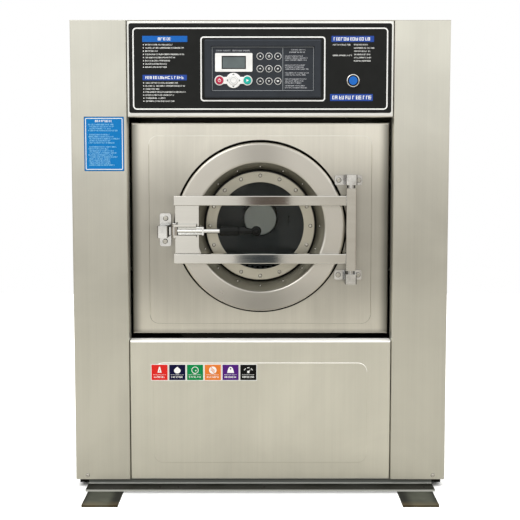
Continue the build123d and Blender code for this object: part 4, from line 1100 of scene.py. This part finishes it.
def build_stage():
    """A pale floor, darker in reflections, and dark cards at the camera that only reflections see."""
    floor = Look("pale_floor", FLOOR_SEEN, 0.7)
    seen = floor.node("ShaderNodeLightPath").outputs["Is Camera Ray"]
    mottle = floor.blend(floor.noise(2.0, 3.0), *FLOOR_TONES)
    floor.colour(floor.blend(seen, mottle, FLOOR_SEEN))
    stage_plane("floor", (14, 9), (0, -0.5, -0.0005), (0, 0, 0), floor)
    for name, colour, width, low, high, x in DARK_CARDS:
        card = Look(name, colour, 0.8)
        card.colour(card.tint(card.ramp(card.noise(5.0, 3.0), 0.0, 1.0), 0.7, 1.3))
        spot = (x, FRONT - CARD_DISTANCE, (low + high) / 2)
        piece = stage_plane(name, (width, high - low), spot, (math.pi / 2, 0, 0), card)
        piece.visible_camera = False
        piece.visible_shadow = False


def world_light():
    """Studio light by direction: bright above, with a band at the horizon that is bright only ahead."""
    left_ahead, right_ahead, beside = (0.92, 0.90, 0.86), (0.58, 0.545, 0.485), (0.34, 0.30, 0.25)
    overhead, below, behind = (1.14, 1.14, 1.12), (0.62, 0.60, 0.55), (0.86, 0.85, 0.83)
    world = bpy.data.worlds.new("studio")
    bpy.context.scene.world = world
    world.use_nodes = True
    sky = Nodes(world.node_tree, "Generated")
    x, y, z = sky.split(sky.coords)[:3]
    aside = sky.math("ABSOLUTE", sky.math("ADD", x, 0.06))
    ahead = sky.blend(sky.ramp(x, 0.0, 1.0, (-0.06, 0.08)), left_ahead, right_ahead)
    band = sky.blend(sky.ramp(aside, 0.0, 1.0, (0.16, 0.34)), ahead, beside)
    above = sky.blend(sky.ramp(z, 0.0, 1.0, (-0.03, 0.03)), band, overhead)
    colour = sky.blend(sky.ramp(z, 1.0, 0.0, (-0.35, -0.20)), above, below)
    colour = sky.blend(sky.ramp(y, 0.0, 1.0, (-0.1, 0.35)), colour, behind)
    seen = sky.node("ShaderNodeLightPath").outputs["Is Camera Ray"]
    back = sky.tree.nodes["Background"]
    sky.link(sky.blend(seen, colour, WHITE), back.inputs["Color"])


def area(name, location, target, size, power):
    """A white rectangular lamp that the camera does not see."""
    data = bpy.data.lights.new(name, "AREA")
    data.shape = "RECTANGLE"
    data.size, data.size_y = size
    data.energy = power
    lamp = in_scene(name, data)
    lamp.location = location
    direction = Vector(target) - Vector(location)
    lamp.rotation_euler = direction.to_track_quat("-Z", "Y").to_euler()
    lamp.visible_camera = False
    return lamp


def add_camera():
    data = bpy.data.cameras.new("camera")
    data.sensor_width = CAMERA_SENSOR
    data.lens = CAMERA_LENS
    camera = in_scene("camera", data)
    camera.location = (CAMERA_X, FRONT - CAMERA_DISTANCE, CAMERA_HEIGHT)
    camera.rotation_euler = (math.pi / 2 - CAMERA_TILT, 0, 0)
    bpy.context.scene.camera = camera


add_camera()
build_stage()
world_light()
area("key_light", (-1.6, FRONT - 2.2, 3.4), (0, 0, 0.8), (2.4, 1.2), 30)
overhead = area("floor_light", (0, 0.0, 5.5), (0, 0, 0), (9.0, 9.0), 620)
overhead.visible_glossy = False  # it would burn out the lid seen from above
bpy.context.scene.view_settings.view_transform = "Standard"

paint_nodes()
overlay_graphics()
keypad_graphics()
key_marks()
nav_arrows()
column_label()
panel_stickers()
dish_rivets()
perforated_basket()
coil_springs()
yoke_welds()
